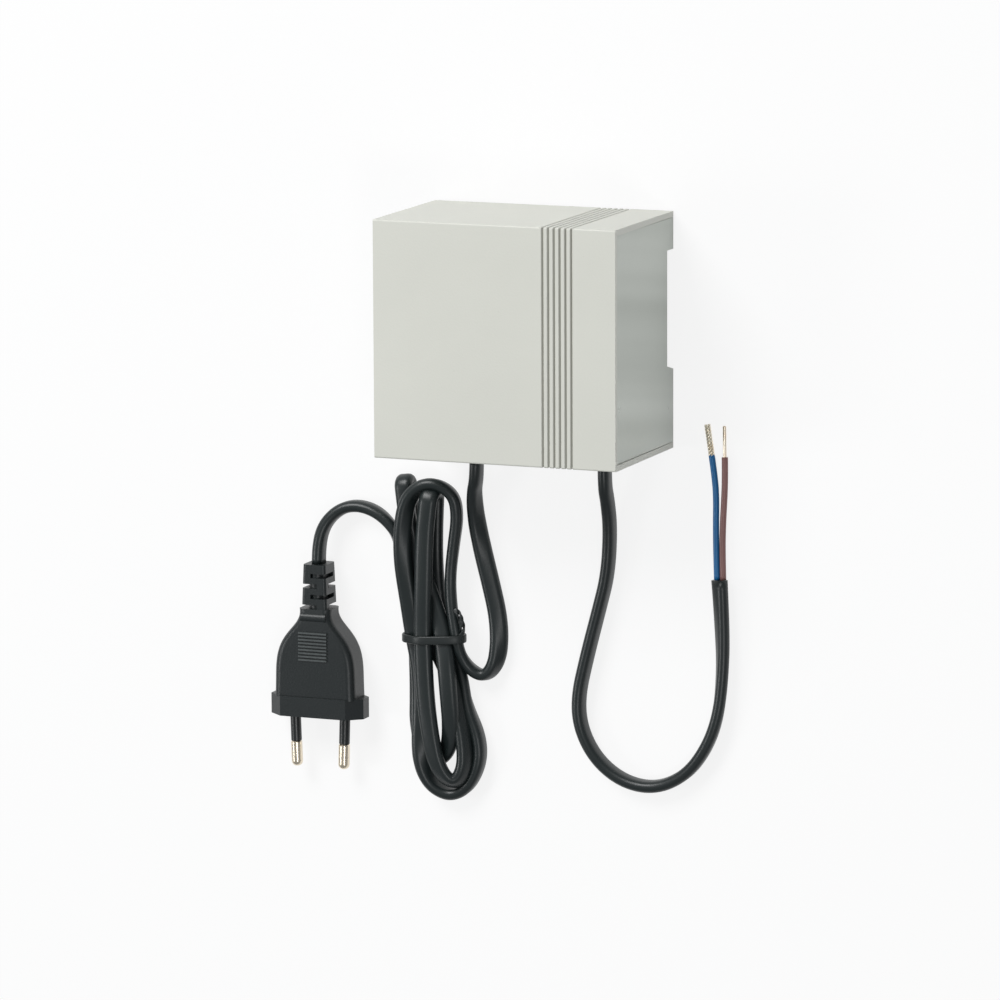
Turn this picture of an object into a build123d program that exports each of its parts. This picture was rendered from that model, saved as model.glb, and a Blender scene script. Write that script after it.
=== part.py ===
from build123d import *
import os
from math import radians, tan

os.makedirs("parts", exist_ok=True)

# Transformer in a moulded case that clips on a 35 mm mounting rail, with a flat mains lead that ends
# in a two-pin plug and a flat output lead that ends in two bared cores. Sizes are in millimetres.
# Frame: +Z out of the front face, +Y to the top edge as mounted, +X to the right of the front face.
# The origin is the middle of the back, where the case lies on a surface.

# Case
case_width = 88.0
case_height = 82.0
case_depth = 56.0
cover_wall = 2.0
case_gap = 0.15
side_wall = 2.2
side_draft = 0.6
back_wall = 2.5
edge_round = 0.6
rim_wall = 1.6
rim_height = 7.0

# Grooves that run over the top, front and bottom of the cover
groove_count = 6
groove_pitch = 2.08
groove_offset = 23.0
groove_width = 1.0
groove_depth = 0.65

# Rail recess in the back
recess_top = 28.0
recess_height = 41.5
recess_depth = 5.8
recess_lead_in = 1.5
rail_lip_space = 1.3
hook_reach = 2.0
hook_width = 12.0
hook_spacing = 52.0
hook_nose = 1.2

# Spring foot of the rail recess, one with the base
foot_width = 16.0
foot_wall = 2.0
foot_lift = 0.2
foot_reach = 8.0
foot_ramp = 3.5
foot_side_gap = 2.5
foot_length = 22.0
pocket_wall = 1.6

# Screws that hold the cover on the base
post_inset_x = 6.5
post_inset_y = 6.6
base_post_diameter = 7.4
cover_post_diameter = 7.0
post_joint = 16.0
post_gap = 0.2
case_screw_diameter = 3.0
case_screw_head = 5.8
case_screw_head_height = 2.2
case_screw_length = 16.0
case_screw_seat = 4.0
screw_clearance = 0.2
screw_fit = 0.05
screw_tip_space = 2.0
drive_width = 0.7
drive_share = 0.6
head_edge_share = 0.4
tip_edge_share = 0.2
bend_share = 0.45

# Laminated core, winding and bobbin
core_side_space = 11.0
core_top_space = 5.5
core_bottom_space = 21.5
core_depth_space = 32.5
core_hole = 4.5
core_screw_diameter = 4.0
core_screw_head = 7.5
core_screw_head_height = 2.8
core_screw_grip = 8.0
core_post_diameter = 9.0
clamp_bar_width = 9.0
clamp_bar_thickness = 1.5
bobbin_gap = 0.2
bobbin_wall = 1.2
bobbin_side_gap = 0.25
bobbin_back_gap = 0.7
bobbin_corner = 1.5
bobbin_edge = 0.15
winding_gap = 0.1
winding_side_space = 1.15
winding_corner = 4.0
tape_thickness = 0.35
tape_edge = 0.6

# Wiring board with its terminals and fuse
board_side_space = 11.5
board_corner = 1.0
board_depth = 13.0
board_thickness = 1.6
board_height = 24.0
board_inset = 0.65
board_screw_spacing = 17.0
board_screw_diameter = 2.5
board_screw_head = 4.5
board_screw_head_height = 1.8
board_screw_length = 8.0
board_post_diameter = 6.0
board_screw_setback = 3.8
terminal_width = 14.0
terminal_depth = 8.4
terminal_height = 10.0
terminal_setback = 1.2
terminal_pitch = 5.2
terminal_wire_height = 3.5
terminal_bore_depth = 5.9
terminal_edge = 0.8
wire_insertion = 5.0
terminal_screw_diameter = 3.0
terminal_screw_length = 3.5
terminal_screw_sink = 1.2
fuse_length = 20.0
fuse_diameter = 5.2
fuse_cap_length = 5.0
fuse_height = 3.6
fuse_setback = 10.2
clip_width = 3.6
clip_wall = 0.5
clip_foot_width = 3.1
clip_mouth_rise = 1.0

# Leads
lead_width = 6.6
lead_thickness = 4.1
lead_height = 9.0
mains_exit_inset = 18.6
output_exit_inset = 21.8
core_wire_diameter = 2.2
core_wire_pitch = 2.3
winding_wire_diameter = 1.4
winding_wire_space = 2.4
winding_wire_side_gap = 0.4
free_lead_diameter = 5.2

# Bushings where the leads pass the bottom wall, and clamps behind them
bushing_core_width = 9.4
bushing_core_rise = 4.4
bushing_corner = 3.0
bushing_flange_reach = 1.5
bushing_flange = 2.0
bushing_nose = 5.0
bushing_nose_wall = 1.2
bushing_fit = 0.1
bushing_tail = 1.5
clamp_width = 17.0
clamp_depth = 5.0
clamp_thickness = 3.0
clamp_squeeze_gap = 0.35
clamp_screw_spacing = 11.8
clamp_screw_diameter = 2.9
clamp_screw_head = 5.2
clamp_screw_head_height = 2.0
clamp_screw_length = 9.0
clamp_post_width = 4.6
clamp_setback = 1.0
clamp_rib_gap = 0.3
sheath_past_clamp = 1.4

# Two-pin plug, lying with its flat side down
plug_x = -86.3
plug_face_y = -142.8
flange_width = 35.3
flange_height = 13.7
flange_thickness = 7.2
flange_flat = 25.0
flange_end = 5.0
plug_width = 30.6
plug_height = 12.4
plug_corner = 2.6
plug_sink = 0.5
plug_length = 38.6
neck_width = 12.2
neck_height = 10.6
relief_width = 9.6
relief_height = 10.2
relief_taper = 1.2
relief_length = 15.8
relief_corner = 1.2
relief_slots = 4
relief_slot = 1.5
relief_slot_inset = 3.6
relief_slot_rise = 2.7
relief_pitch = 3.7
relief_core_wall = 0.8
grip_width = 10.8
grip_length = 10.2
grip_start = 20.6
grip_bars = 9
grip_bar_height = 0.5
roll_start = 35.6
roll_radius = 1.9
roll_width = 9.4
roll_height = 6.3
pin_diameter = 4.0
pin_length = 19.0
pin_sleeve_length = 10.0
pin_sleeve_diameter = 3.8
pin_sleeve_wall = 0.45
pin_spacing_root = 19.0
pin_spacing_tip = 17.8
pin_root_depth = 5.0
pin_rounding = 1.8
pin_collar_edge = 0.3
pin_bore_gap = 0.02
pin_end_gap = 0.5
carrier_width = 28.0
carrier_height = 8.4
carrier_depth = 2.4
carrier_fit = 0.1

# Hank of the mains lead and its wire tie
hank_height = 13.0
hank_edge = 2.5
tie_y = -112.3
tie_width = 3.0
tie_thickness = 1.1
waist_left = -53.8
waist_right = -34.4

# Bared ends of the output lead
strand_diameter = 1.7
strand_length = 11.0
solid_end_diameter = 1.2
solid_end_length = 11.0
bare_end_edge = 0.2

# Places that follow from the sizes above
front_inside = case_depth - cover_wall
half_width = case_width / 2
half_height = case_height / 2
base_half_height = half_height - cover_wall - case_gap
base_front = front_inside - case_gap
cavity_half_width = half_width - side_draft - side_wall
recess_bottom = recess_top - recess_height
inner_floor = recess_depth + back_wall
post_x = half_width - post_inset_x
post_y = half_height - post_inset_y
post_places = [(x, y) for x in (-post_x, post_x) for y in (-post_y, post_y)]

# An E and I core: the outer legs and windows are a sixth of the width, and each yoke a fifth of the length
core_width = case_width - 2 * core_side_space
core_leg = core_width / 6
centre_leg = 2 * core_leg
core_top = half_height - core_top_space
core_bottom = -half_height + core_bottom_space
core_length = core_top - core_bottom
core_centre_y = (core_top + core_bottom) / 2
core_yoke = core_length / 5
core_stack = case_depth - core_depth_space
window_length = core_length - 2 * core_yoke
yoke_places = (core_bottom + core_yoke / 2, core_top - core_yoke / 2)
core_hole_x = core_width / 2 - core_leg / 2
stack_half = core_stack / 2
tube_half_x = centre_leg / 2 + bobbin_gap + bobbin_wall
tube_half_z = stack_half + bobbin_gap + bobbin_wall
winding_half_x = centre_leg / 2 + core_leg - winding_side_space - tape_thickness
winding_thickness = winding_half_x - tube_half_x - winding_gap
winding_half_z = tube_half_z + winding_gap + winding_thickness
flange_half_x = centre_leg / 2 + core_leg - bobbin_side_gap
flange_half_z = winding_half_z + tape_thickness + bobbin_edge
core_centre_z = inner_floor + bobbin_back_gap + flange_half_z
stack_bottom = core_centre_z - stack_half
stack_top = core_centre_z + stack_half
bobbin_length = window_length - 2 * bobbin_gap
chamber_length = (bobbin_length - 3 * bobbin_wall) / 2

mains_exit_x = mains_exit_inset - half_width
output_exit_x = half_width - output_exit_inset
board_width = case_width - 2 * board_side_space
board_front_y = -base_half_height + rim_wall + board_inset
board_back_y = board_front_y + board_depth
board_centre_y = (board_front_y + board_back_y) / 2
board_top = board_height + board_thickness
board_post_y = board_back_y - board_screw_setback
terminal_y = board_back_y - terminal_setback - terminal_depth / 2
terminal_face_y = board_back_y - terminal_setback
fuse_y = board_back_y - fuse_setback

wall_outside_y = -half_height
wall_inside_y = -base_half_height + rim_wall
nose_end_y = wall_outside_y - bushing_fit - bushing_flange - bushing_nose
bushing_inner_y = wall_inside_y + bushing_fit + bushing_flange
clamp_y = bushing_inner_y + bushing_tail + clamp_setback + clamp_depth / 2
sheath_end_y = clamp_y + clamp_depth / 2 + sheath_past_clamp
bushing_top = lead_height + bushing_core_rise
bushing_floor = back_wall + bushing_fit
wire_gap_y = (board_back_y + core_bottom) / 2

plug_z = flange_height / 2
neck_y = plug_face_y + plug_length
relief_end_y = neck_y + relief_length
waist_width = waist_right - waist_left
waist_middle = (waist_right + waist_left) / 2

# Each lead: its exit, and how wide and how high its flat section stands there
lead_sections = {
    "mains": (mains_exit_x, lead_thickness, lead_width),
    "output": (output_exit_x, lead_thickness, lead_width),
}

# Routes of the free leads, chosen by eye along the middle of each lead
mains_route = [
    (mains_exit_x, nose_end_y, lead_height),
    (mains_exit_x, -54.0, lead_height),
    (-27.7, -59.9, 6.0),
    (-27.9, -69.9, 3.4),
    (-25.8, -81.1, 2.6),
    (-22.9, -92.2, 2.6),
    (-20.1, -104.0, 2.6),
    (-19.5, -114.4, 3.1),
    (-21.1, -121.6, 3.3),
    (-25.0, -125.6, 3.3),
    (-30.1, -123.3, 3.3),
    (-33.5, -117.5, 3.5),
    (-35.5, -110.2, 4.5),
]
plug_route = [
    (-55.0, -84.0, 3.2),
    (-57.6, -77.0, 3.0),
    (-63.6, -70.2, 3.0),
    (-71.4, -67.4, 3.2),
    (-78.6, -68.6, 4.0),
    (-84.4, -74.2, 5.4),
    (plug_x, -81.8, plug_z),
    (plug_x, relief_end_y, plug_z),
]
output_route = [
    (output_exit_x, nose_end_y, lead_height),
    (output_exit_x, -54.4, lead_height),
    (22.1, -60.1, 6.1),
    (22.3, -70.1, 4.0),
    (21.2, -86.1, 3.3),
    (17.7, -99.5, 3.3),
    (13.6, -114.7, 3.3),
    (9.8, -130.9, 3.3),
    (11.2, -142.4, 3.3),
    (17.4, -152.7, 3.3),
    (27.5, -159.4, 3.3),
    (39.3, -160.6, 3.3),
    (50.4, -154.9, 3.3),
    (57.8, -144.8, 3.3),
    (61.9, -133.1, 3.2),
    (63.3, -117.8, 3.0),
    (63.1, -102.7, 2.8),
    (61.9, -85.9, 2.6),
]
blue_route = [
    (60.8, -85.9, 1.9),
    (60.3, -75.6, 1.5),
    (60.1, -65.2, 1.2),
    (60.2, -58.2, 1.2),
    (59.8, -51.2, 1.2),
    (58.5, -42.7, 1.2),
]
brown_route = [
    (63.0, -85.9, 1.9),
    (62.5, -75.4, 1.4),
    (62.7, -65.0, 1.2),
    (63.1, -58.4, 1.2),
    (63.4, -50.6, 1.2),
    (63.3, -43.3, 1.2),
]

# Outline of the tied hank seen from above, and the two gaps between its loops
hank_outline = [
    (-52.6, -54.4),
    (-43.6, -55.6),
    (-34.6, -61.0),
    (-31.4, -71.0),
    (-33.4, -90.0),
    (waist_right, tie_y),
    (-30.6, -125.0),
    (-27.6, -139.0),
    (-23.6, -153.0),
    (-27.4, -166.0),
    (-38.4, -171.4),
    (-48.4, -165.4),
    (-52.8, -150.0),
    (-53.2, -134.0),
    (waist_left, tie_y),
    (-57.6, -90.0),
    (-57.8, -70.0),
]
hank_gaps = [
    [(-39.6, -66.0), (-37.0, -70.0), (-38.6, -84.0), (-40.4, -82.0)],
    [(-44.0, -126.0), (-42.6, -134.0), (-40.6, -147.0), (-42.6, -144.0)],
]


def tube_radii(route):
    """Radius of the arc at each inner point of a route, as long as the shorter run beside it allows."""
    points = [Vector(*point) for point in route]
    runs = [after - before for before, after in zip(points, points[1:])]
    radii = []
    for run, following in zip(runs, runs[1:]):
        half_turn = radians(run.get_angle(following)) / 2
        radii.append(bend_share * min(run.length, following.length) / tan(half_turn))
    return radii


def tube(name, route, diameter):
    """Round tube along straight runs joined by tangent arcs."""
    radii = tube_radii(route)
    with BuildPart() as body:
        with BuildLine() as path:
            FilletPolyline(*route, radius=radii)
        with BuildSketch(Plane(origin=path.line @ 0, z_dir=path.line % 0)) as section:
            Circle(diameter / 2)
        sweep()
    length = path.wires()[0].length
    share = body.part.volume / (section.sketch.area * length)
    print(name, "length", round(length, 1), "radii", [round(radius, 1) for radius in radii],
          "volume share", round(share, 4))
    body.part.label = name
    return body.part


def screw(head_diameter, head_height, shank_diameter, length):
    """Pan-head screw with a cross recess, its seat at the origin and its head along +Z."""
    with BuildPart() as body:
        Cylinder(head_diameter / 2, head_height, align=(Align.CENTER, Align.CENTER, Align.MIN))
        fillet(body.edges().group_by(Axis.Z)[-1], head_height * head_edge_share)
        Cylinder(shank_diameter / 2, length, align=(Align.CENTER, Align.CENTER, Align.MAX))
        chamfer(body.edges().group_by(Axis.Z)[0], shank_diameter * tip_edge_share)
        with BuildSketch(Plane.XY.offset(head_height)):
            Rectangle(head_diameter * drive_share, drive_width)
            Rectangle(drive_width, head_diameter * drive_share)
        extrude(amount=-head_height * drive_share, mode=Mode.SUBTRACT)
    return body.part


def flat_section(wide, high):
    """Section of a flat lead on edge, round above and below."""
    return SlotOverall(high, wide, rotation=90)


def along_lead(x, y):
    """Plane across a lead at y, with its own y upward and its normal out of the case."""
    return Plane(origin=(x, y, lead_height), x_dir=(1, 0, 0), z_dir=(0, -1, 0))


# Cover: front, top and bottom in one bent wrap, with grooves, screw posts and notches for the bushings
with BuildPart() as cover:
    with BuildSketch(Plane.YZ):
        Rectangle(case_height, case_depth, align=(Align.CENTER, Align.MIN))
        Rectangle(case_height - 2 * cover_wall, front_inside, align=(Align.CENTER, Align.MIN),
                  mode=Mode.SUBTRACT)
    extrude(amount=half_width, both=True)
    front_edges = cover.edges().filter_by(Axis.X).group_by(Axis.Z)[-1]
    fillet(front_edges, edge_round)
    with BuildSketch(Plane.XY.offset(front_inside)):
        with Locations(*post_places):
            Circle(cover_post_diameter / 2)
    extrude(amount=-(front_inside - post_joint - post_gap))
    with Locations(*[Location((x, y, post_joint + post_gap)) for x, y in post_places]):
        Cylinder(case_screw_diameter / 2 + screw_fit, case_screw_length - case_screw_seat + screw_tip_space,
                 align=(Align.CENTER, Align.CENTER, Align.MIN), mode=Mode.SUBTRACT)
    groove_places = [groove_offset + groove_pitch * (i - (groove_count - 1) / 2)
                     for i in range(groove_count)]
    with BuildSketch(Plane.XZ):
        for x in groove_places:
            Polygon((x - groove_width / 2, case_depth), (x, case_depth - groove_depth),
                    (x + groove_width / 2, case_depth), align=None)
    extrude(amount=half_height, both=True, mode=Mode.SUBTRACT)
    with BuildSketch(Plane.XY):
        for x in groove_places:
            for side in (-1, 1):
                Polygon((x - groove_width / 2, side * half_height), (x, side * (half_height - groove_depth)),
                        (x + groove_width / 2, side * half_height), align=None)
    extrude(amount=case_depth, mode=Mode.SUBTRACT)
    with BuildSketch(Plane.XZ.offset(half_height - cover_wall / 2)):
        for x, wide, high in lead_sections.values():
            with Locations((x, (bushing_top + bushing_fit) / 2)):
                Rectangle(bushing_core_width + 2 * bushing_fit, bushing_top + bushing_fit)
    extrude(amount=cover_wall, both=True, mode=Mode.SUBTRACT)
cover.part.label = "cover"
export_step(cover.part, "parts/cover.step")

# Base: stepped back with the rail recess and its spring foot, and the two side walls
with BuildPart() as base:
    with BuildSketch(Plane.YZ):
        Rectangle(2 * base_half_height, base_front, align=(Align.CENTER, Align.MIN))
    extrude(amount=half_width, both=True)
    with BuildSketch(Plane.XZ):
        for side in (-1, 1):
            Polygon((side * half_width, 0), (side * (half_width - side_draft), base_front),
                    (side * (half_width + 1), base_front), (side * (half_width + 1), 0), align=None)
    extrude(amount=half_height, both=True, mode=Mode.SUBTRACT)
    with BuildSketch(Plane.YZ):
        with BuildLine():
            Polyline((-half_height, back_wall), (recess_bottom - back_wall, back_wall),
                     (recess_bottom - back_wall, inner_floor), (recess_top + back_wall, inner_floor),
                     (recess_top + back_wall, back_wall), (half_height, back_wall),
                     (half_height, case_depth), (-half_height, case_depth), close=True)
        make_face()
    extrude(amount=cavity_half_width, both=True, mode=Mode.SUBTRACT)
    # Rims along the top and bottom edges of the back
    with BuildSketch(Plane.XY):
        for side in (-1, 1):
            with Locations((0, side * (base_half_height - rim_wall / 2))):
                Rectangle(2 * cavity_half_width, rim_wall)
    extrude(amount=back_wall + rim_height)
    # Tongues that close the cover's notches below the bushings
    with BuildSketch(Plane.XY):
        for x, wide, high in lead_sections.values():
            with Locations((x, -(half_height + base_half_height - rim_wall) / 2)):
                Rectangle(bushing_core_width, half_height - base_half_height + rim_wall)
    extrude(amount=back_wall)
    # Posts for the case screws, the core and the board
    with BuildSketch(Plane.XY.offset(back_wall / 2)):
        with Locations(*post_places):
            Circle(base_post_diameter / 2)
    extrude(amount=post_joint - back_wall / 2)
    with BuildSketch(Plane.XY.offset(back_wall / 2)):
        with Locations(*[(x, y) for x in (-core_hole_x, core_hole_x) for y in yoke_places]):
            Circle(core_post_diameter / 2)
    extrude(amount=stack_bottom - back_wall / 2)
    with BuildSketch(Plane.XY.offset(back_wall / 2)):
        with Locations((-board_screw_spacing / 2, board_post_y), (board_screw_spacing / 2, board_post_y)):
            Circle(board_post_diameter / 2)
    extrude(amount=board_height - back_wall / 2)
    # Roof over the pocket of the spring foot
    foot_root_y = recess_bottom - foot_length
    pocket_half = foot_width / 2 + foot_side_gap
    with BuildSketch(Plane.XY.offset(back_wall / 2)):
        with Locations((0, (foot_root_y - pocket_wall + recess_bottom) / 2)):
            Rectangle(2 * (pocket_half + pocket_wall), foot_length + pocket_wall)
    extrude(amount=inner_floor - back_wall / 2)
    # Saddles and posts under the lead clamps
    for x, wide, high in lead_sections.values():
        with BuildSketch(Plane.XY.offset(back_wall / 2)):
            with Locations((x, clamp_y)):
                Rectangle(clamp_width, clamp_depth)
        extrude(amount=lead_height - high / 2 - back_wall / 2)
        with BuildSketch(Plane.XY.offset(back_wall / 2)):
            for side in (-1, 1):
                with Locations((x + side * clamp_screw_spacing / 2, clamp_y)):
                    Rectangle(clamp_post_width, clamp_depth)
        extrude(amount=lead_height + high / 2 - clamp_squeeze_gap - back_wall / 2)
    # Recess for the rail, right through from side to side
    with BuildSketch(Plane.YZ):
        with BuildLine():
            Polyline((recess_bottom, 0), (recess_bottom + recess_lead_in, recess_depth),
                     (recess_top, recess_depth), (recess_top, 0), close=True)
        make_face()
    extrude(amount=half_width + 1, both=True, mode=Mode.SUBTRACT)
    with BuildSketch(Plane.XY):
        with Locations((0, (foot_root_y + recess_bottom + recess_lead_in) / 2)):
            Rectangle(2 * pocket_half, foot_length + recess_lead_in)
    extrude(amount=recess_depth, mode=Mode.SUBTRACT)
    # Fixed hooks at the top of the recess
    hook_z = recess_depth - rail_lip_space
    for x in (-hook_spacing / 2, hook_spacing / 2):
        with BuildSketch(Plane.YZ.offset(x)):
            Polygon((recess_top + 0.5, hook_nose / 2), (recess_top, hook_nose / 2),
                    (recess_top - hook_reach, hook_nose * 2), (recess_top - hook_reach, hook_z),
                    (recess_top + 0.5, hook_z), align=None)
        extrude(amount=hook_width / 2, both=True)
    # Spring foot: an arm from the far end of the pocket that ends in a sloped nose
    nose_y = recess_bottom + foot_reach
    foot_top = foot_lift + foot_wall
    with BuildSketch(Plane.YZ):
        Polygon((foot_root_y - pocket_wall, foot_lift), (nose_y - foot_ramp, foot_lift),
                (nose_y, hook_z - foot_wall), (nose_y, hook_z), (recess_bottom, hook_z),
                (recess_bottom - foot_wall, foot_top), (foot_root_y - pocket_wall, foot_top), align=None)
    extrude(amount=foot_width / 2, both=True)
    # Screw holes
    with Locations(*[Location((x, y, post_joint)) for x, y in post_places]):
        Hole(case_screw_diameter / 2 + screw_clearance, depth=post_joint)
    with Locations(*[Location((x, y, 0)) for x, y in post_places]):
        Cylinder(case_screw_head / 2 + screw_clearance, post_joint - case_screw_seat,
                 align=(Align.CENTER, Align.CENTER, Align.MIN), mode=Mode.SUBTRACT)
    with Locations(*[Location((x, y, stack_bottom))
                     for x in (-core_hole_x, core_hole_x) for y in yoke_places]):
        Hole(core_screw_diameter / 2 + screw_fit, depth=core_screw_grip + screw_tip_space)
    with Locations(*[Location((x, board_post_y, board_height))
                     for x in (-board_screw_spacing / 2, board_screw_spacing / 2)]):
        Hole(board_screw_diameter / 2 + screw_fit,
             depth=board_screw_length - board_thickness + screw_tip_space)
    for x, wide, high in lead_sections.values():
        with Locations(*[Location((x + side * clamp_screw_spacing / 2, clamp_y,
                                   lead_height + high / 2 - clamp_squeeze_gap)) for side in (-1, 1)]):
            Hole(clamp_screw_diameter / 2 + screw_fit, depth=clamp_screw_length - clamp_thickness)
    # Notches for the bushings in the bottom rim
    for x, wide, high in lead_sections.values():
        with BuildSketch(Plane.XZ.offset(base_half_height - rim_wall / 2)):
            with Locations((x, back_wall)):
                Rectangle(bushing_core_width + 2 * bushing_fit, bushing_top,
                          align=(Align.CENTER, Align.MIN))
        extrude(amount=rim_wall, both=True, mode=Mode.SUBTRACT)
base.part.label = "base"
export_step(base.part, "parts/base.step")

# Screws from the back into the cover
with BuildPart() as case_screws:
    case_screw = screw(case_screw_head, case_screw_head_height, case_screw_diameter, case_screw_length)
    with Locations(*[Location((x, y, post_joint - case_screw_seat), (180, 0, 0)) for x, y in post_places]):
        add(case_screw)
case_screws.part.label = "case_screws"
export_step(case_screws.part, "parts/case_screws.step")

# Core: a stack of E sheets with its yoke at the top, closed by a stack of I sheets
with BuildPart() as core_e_stack:
    e_length = window_length + core_yoke
    with BuildSketch(Plane.XY.offset(stack_bottom)):
        with Locations((0, core_top - e_length / 2)):
            Rectangle(core_width, e_length)
        with Locations(*[(side * (centre_leg / 2 + core_leg / 2), core_top - core_yoke - window_length / 2)
                         for side in (-1, 1)]):
            Rectangle(core_leg, window_length, mode=Mode.SUBTRACT)
        with Locations((-core_hole_x, yoke_places[1]), (core_hole_x, yoke_places[1])):
            Circle(core_hole / 2, mode=Mode.SUBTRACT)
    extrude(amount=core_stack)
core_e_stack.part.label = "core_e_stack"
export_step(core_e_stack.part, "parts/core_e_stack.step")

with BuildPart() as core_i_stack:
    with BuildSketch(Plane.XY.offset(stack_bottom)):
        with Locations((0, yoke_places[0])):
            Rectangle(core_width, core_yoke)
        with Locations((-core_hole_x, yoke_places[0]), (core_hole_x, yoke_places[0])):
            Circle(core_hole / 2, mode=Mode.SUBTRACT)
    extrude(amount=core_stack)
core_i_stack.part.label = "core_i_stack"
export_step(core_i_stack.part, "parts/core_i_stack.step")

# Flat bars over both yokes, under the heads of the core screws
for name, y in zip(("lower_clamp_bar", "upper_clamp_bar"), yoke_places):
    with BuildPart() as clamp_bar:
        with BuildSketch(Plane.XY.offset(stack_top)):
            with Locations((0, y)):
                RectangleRounded(core_width, clamp_bar_width, clamp_bar_width / 4)
            with Locations((-core_hole_x, y), (core_hole_x, y)):
                Circle(core_hole / 2, mode=Mode.SUBTRACT)
        extrude(amount=clamp_bar_thickness)
    clamp_bar.part.label = name
    export_step(clamp_bar.part, "parts/" + name + ".step")

with BuildPart() as core_screws:
    core_screw = screw(core_screw_head, core_screw_head_height, core_screw_diameter,
                       core_stack + clamp_bar_thickness + core_screw_grip)
    with Locations(*[Location((x, y, stack_top + clamp_bar_thickness))
                     for x in (-core_hole_x, core_hole_x) for y in yoke_places]):
        add(core_screw)
core_screws.part.label = "core_screws"
export_step(core_screws.part, "parts/core_screws.step")

# Bobbin on the middle leg, with a chamber for each winding
across_leg = Plane(origin=(0, core_centre_y, core_centre_z), x_dir=(1, 0, 0), z_dir=(0, 1, 0))
with BuildPart() as bobbin:
    with BuildSketch(across_leg):
        Rectangle(2 * tube_half_x, 2 * tube_half_z)
    extrude(amount=bobbin_length / 2, both=True)
    for place in (-1, 0, 1):
        with BuildSketch(across_leg.offset(place * (bobbin_length - bobbin_wall) / 2)):
            RectangleRounded(2 * flange_half_x, 2 * flange_half_z, bobbin_corner)
        extrude(amount=bobbin_wall / 2, both=True)
    with BuildSketch(across_leg):
        Rectangle(2 * (tube_half_x - bobbin_wall), 2 * (tube_half_z - bobbin_wall))
    extrude(amount=bobbin_length, both=True, mode=Mode.SUBTRACT)
bobbin.part.label = "bobbin"
export_step(bobbin.part, "parts/bobbin.step")

# Windings and the tape round each of them, the mains side below
for name, place in (("primary", -1), ("secondary", 1)):
    chamber = across_leg.offset(place * (chamber_length + bobbin_wall) / 2)
    with BuildPart() as winding:
        with BuildSketch(chamber):
            RectangleRounded(2 * winding_half_x, 2 * winding_half_z, winding_corner)
            Rectangle(2 * (tube_half_x + winding_gap), 2 * (tube_half_z + winding_gap), mode=Mode.SUBTRACT)
        extrude(amount=chamber_length / 2 - winding_gap, both=True)
    winding.part.label = name + "_winding"
    export_step(winding.part, "parts/" + name + "_winding.step")
    with BuildPart() as tape:
        with BuildSketch(chamber):
            RectangleRounded(2 * (winding_half_x + tape_thickness), 2 * (winding_half_z + tape_thickness),
                             winding_corner + tape_thickness)
            RectangleRounded(2 * winding_half_x, 2 * winding_half_z, winding_corner, mode=Mode.SUBTRACT)
        extrude(amount=chamber_length / 2 - tape_edge, both=True)
    tape.part.label = name + "_tape"
    export_step(tape.part, "parts/" + name + "_tape.step")

# Wiring board on its two posts
with BuildPart() as wiring_board:
    with BuildSketch(Plane.XY.offset(board_height)):
        with Locations((0, board_centre_y)):
            RectangleRounded(board_width, board_depth, board_corner)
        with Locations((-board_screw_spacing / 2, board_post_y), (board_screw_spacing / 2, board_post_y)):
            Circle(board_screw_diameter / 2 + screw_clearance, mode=Mode.SUBTRACT)
    extrude(amount=board_thickness)
wiring_board.part.label = "wiring_board"
export_step(wiring_board.part, "parts/wiring_board.step")

with BuildPart() as board_screws:
    board_screw = screw(board_screw_head, board_screw_head_height, board_screw_diameter, board_screw_length)
    with Locations(*[Location((x, board_post_y, board_top))
                     for x in (-board_screw_spacing / 2, board_screw_spacing / 2)]):
        add(board_screw)
board_screws.part.label = "board_screws"
export_step(board_screws.part, "parts/board_screws.step")

# Terminal blocks with a screw well over each wire hole
for name, (x, wide, high) in lead_sections.items():
    with BuildPart() as terminal:
        with BuildSketch(Plane.XY.offset(board_top)):
            with Locations((x, terminal_y)):
                Rectangle(terminal_width, terminal_depth)
        extrude(amount=terminal_height)
        with BuildSketch(Plane(origin=(x, terminal_face_y, board_top + terminal_wire_height),
                               x_dir=(1, 0, 0), z_dir=(0, -1, 0))):
            with Locations((-terminal_pitch / 2, 0), (terminal_pitch / 2, 0)):
                Circle(core_wire_diameter / 2 + screw_clearance)
        extrude(amount=terminal_bore_depth, mode=Mode.SUBTRACT)
        with Locations(*[Location((x + side * terminal_pitch / 2, terminal_y, board_top + terminal_height))
                         for side in (-1, 1)]):
            Hole(terminal_screw_diameter / 2 + screw_fit, depth=terminal_height - terminal_wire_height)
        chamfer(terminal.edges().filter_by(Axis.X).group_by(Axis.Z)[-1], terminal_edge)
    terminal.part.label = name + "_terminal"
    export_step(terminal.part, "parts/" + name + "_terminal.step")

with BuildPart() as terminal_screws:
    for x, wide, high in lead_sections.values():
        with Locations(*[Location((x + side * terminal_pitch / 2, terminal_y,
                                   board_top + terminal_height - terminal_screw_sink)) for side in (-1, 1)]):
            Cylinder(terminal_screw_diameter / 2, terminal_screw_length,
                     align=(Align.CENTER, Align.CENTER, Align.MAX))
            Box(drive_width, terminal_screw_diameter, drive_width, mode=Mode.SUBTRACT)
terminal_screws.part.label = "terminal_screws"
export_step(terminal_screws.part, "parts/terminal_screws.step")

# Glass fuse in two clips
fuse_z = board_top + fuse_height
across_fuse = Plane(origin=(0, fuse_y, fuse_z), x_dir=(0, 1, 0), z_dir=(1, 0, 0))
with BuildPart() as fuse:
    with BuildSketch(across_fuse):
        Circle(fuse_diameter / 2 - clip_wall / 2)
    extrude(amount=fuse_length / 2, both=True)
    for side in (-1, 1):
        with BuildSketch(across_fuse.offset(side * (fuse_length - fuse_cap_length) / 2)):
            Circle(fuse_diameter / 2)
        extrude(amount=fuse_cap_length / 2, both=True)
fuse.part.label = "fuse"
export_step(fuse.part, "parts/fuse.step")

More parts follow.
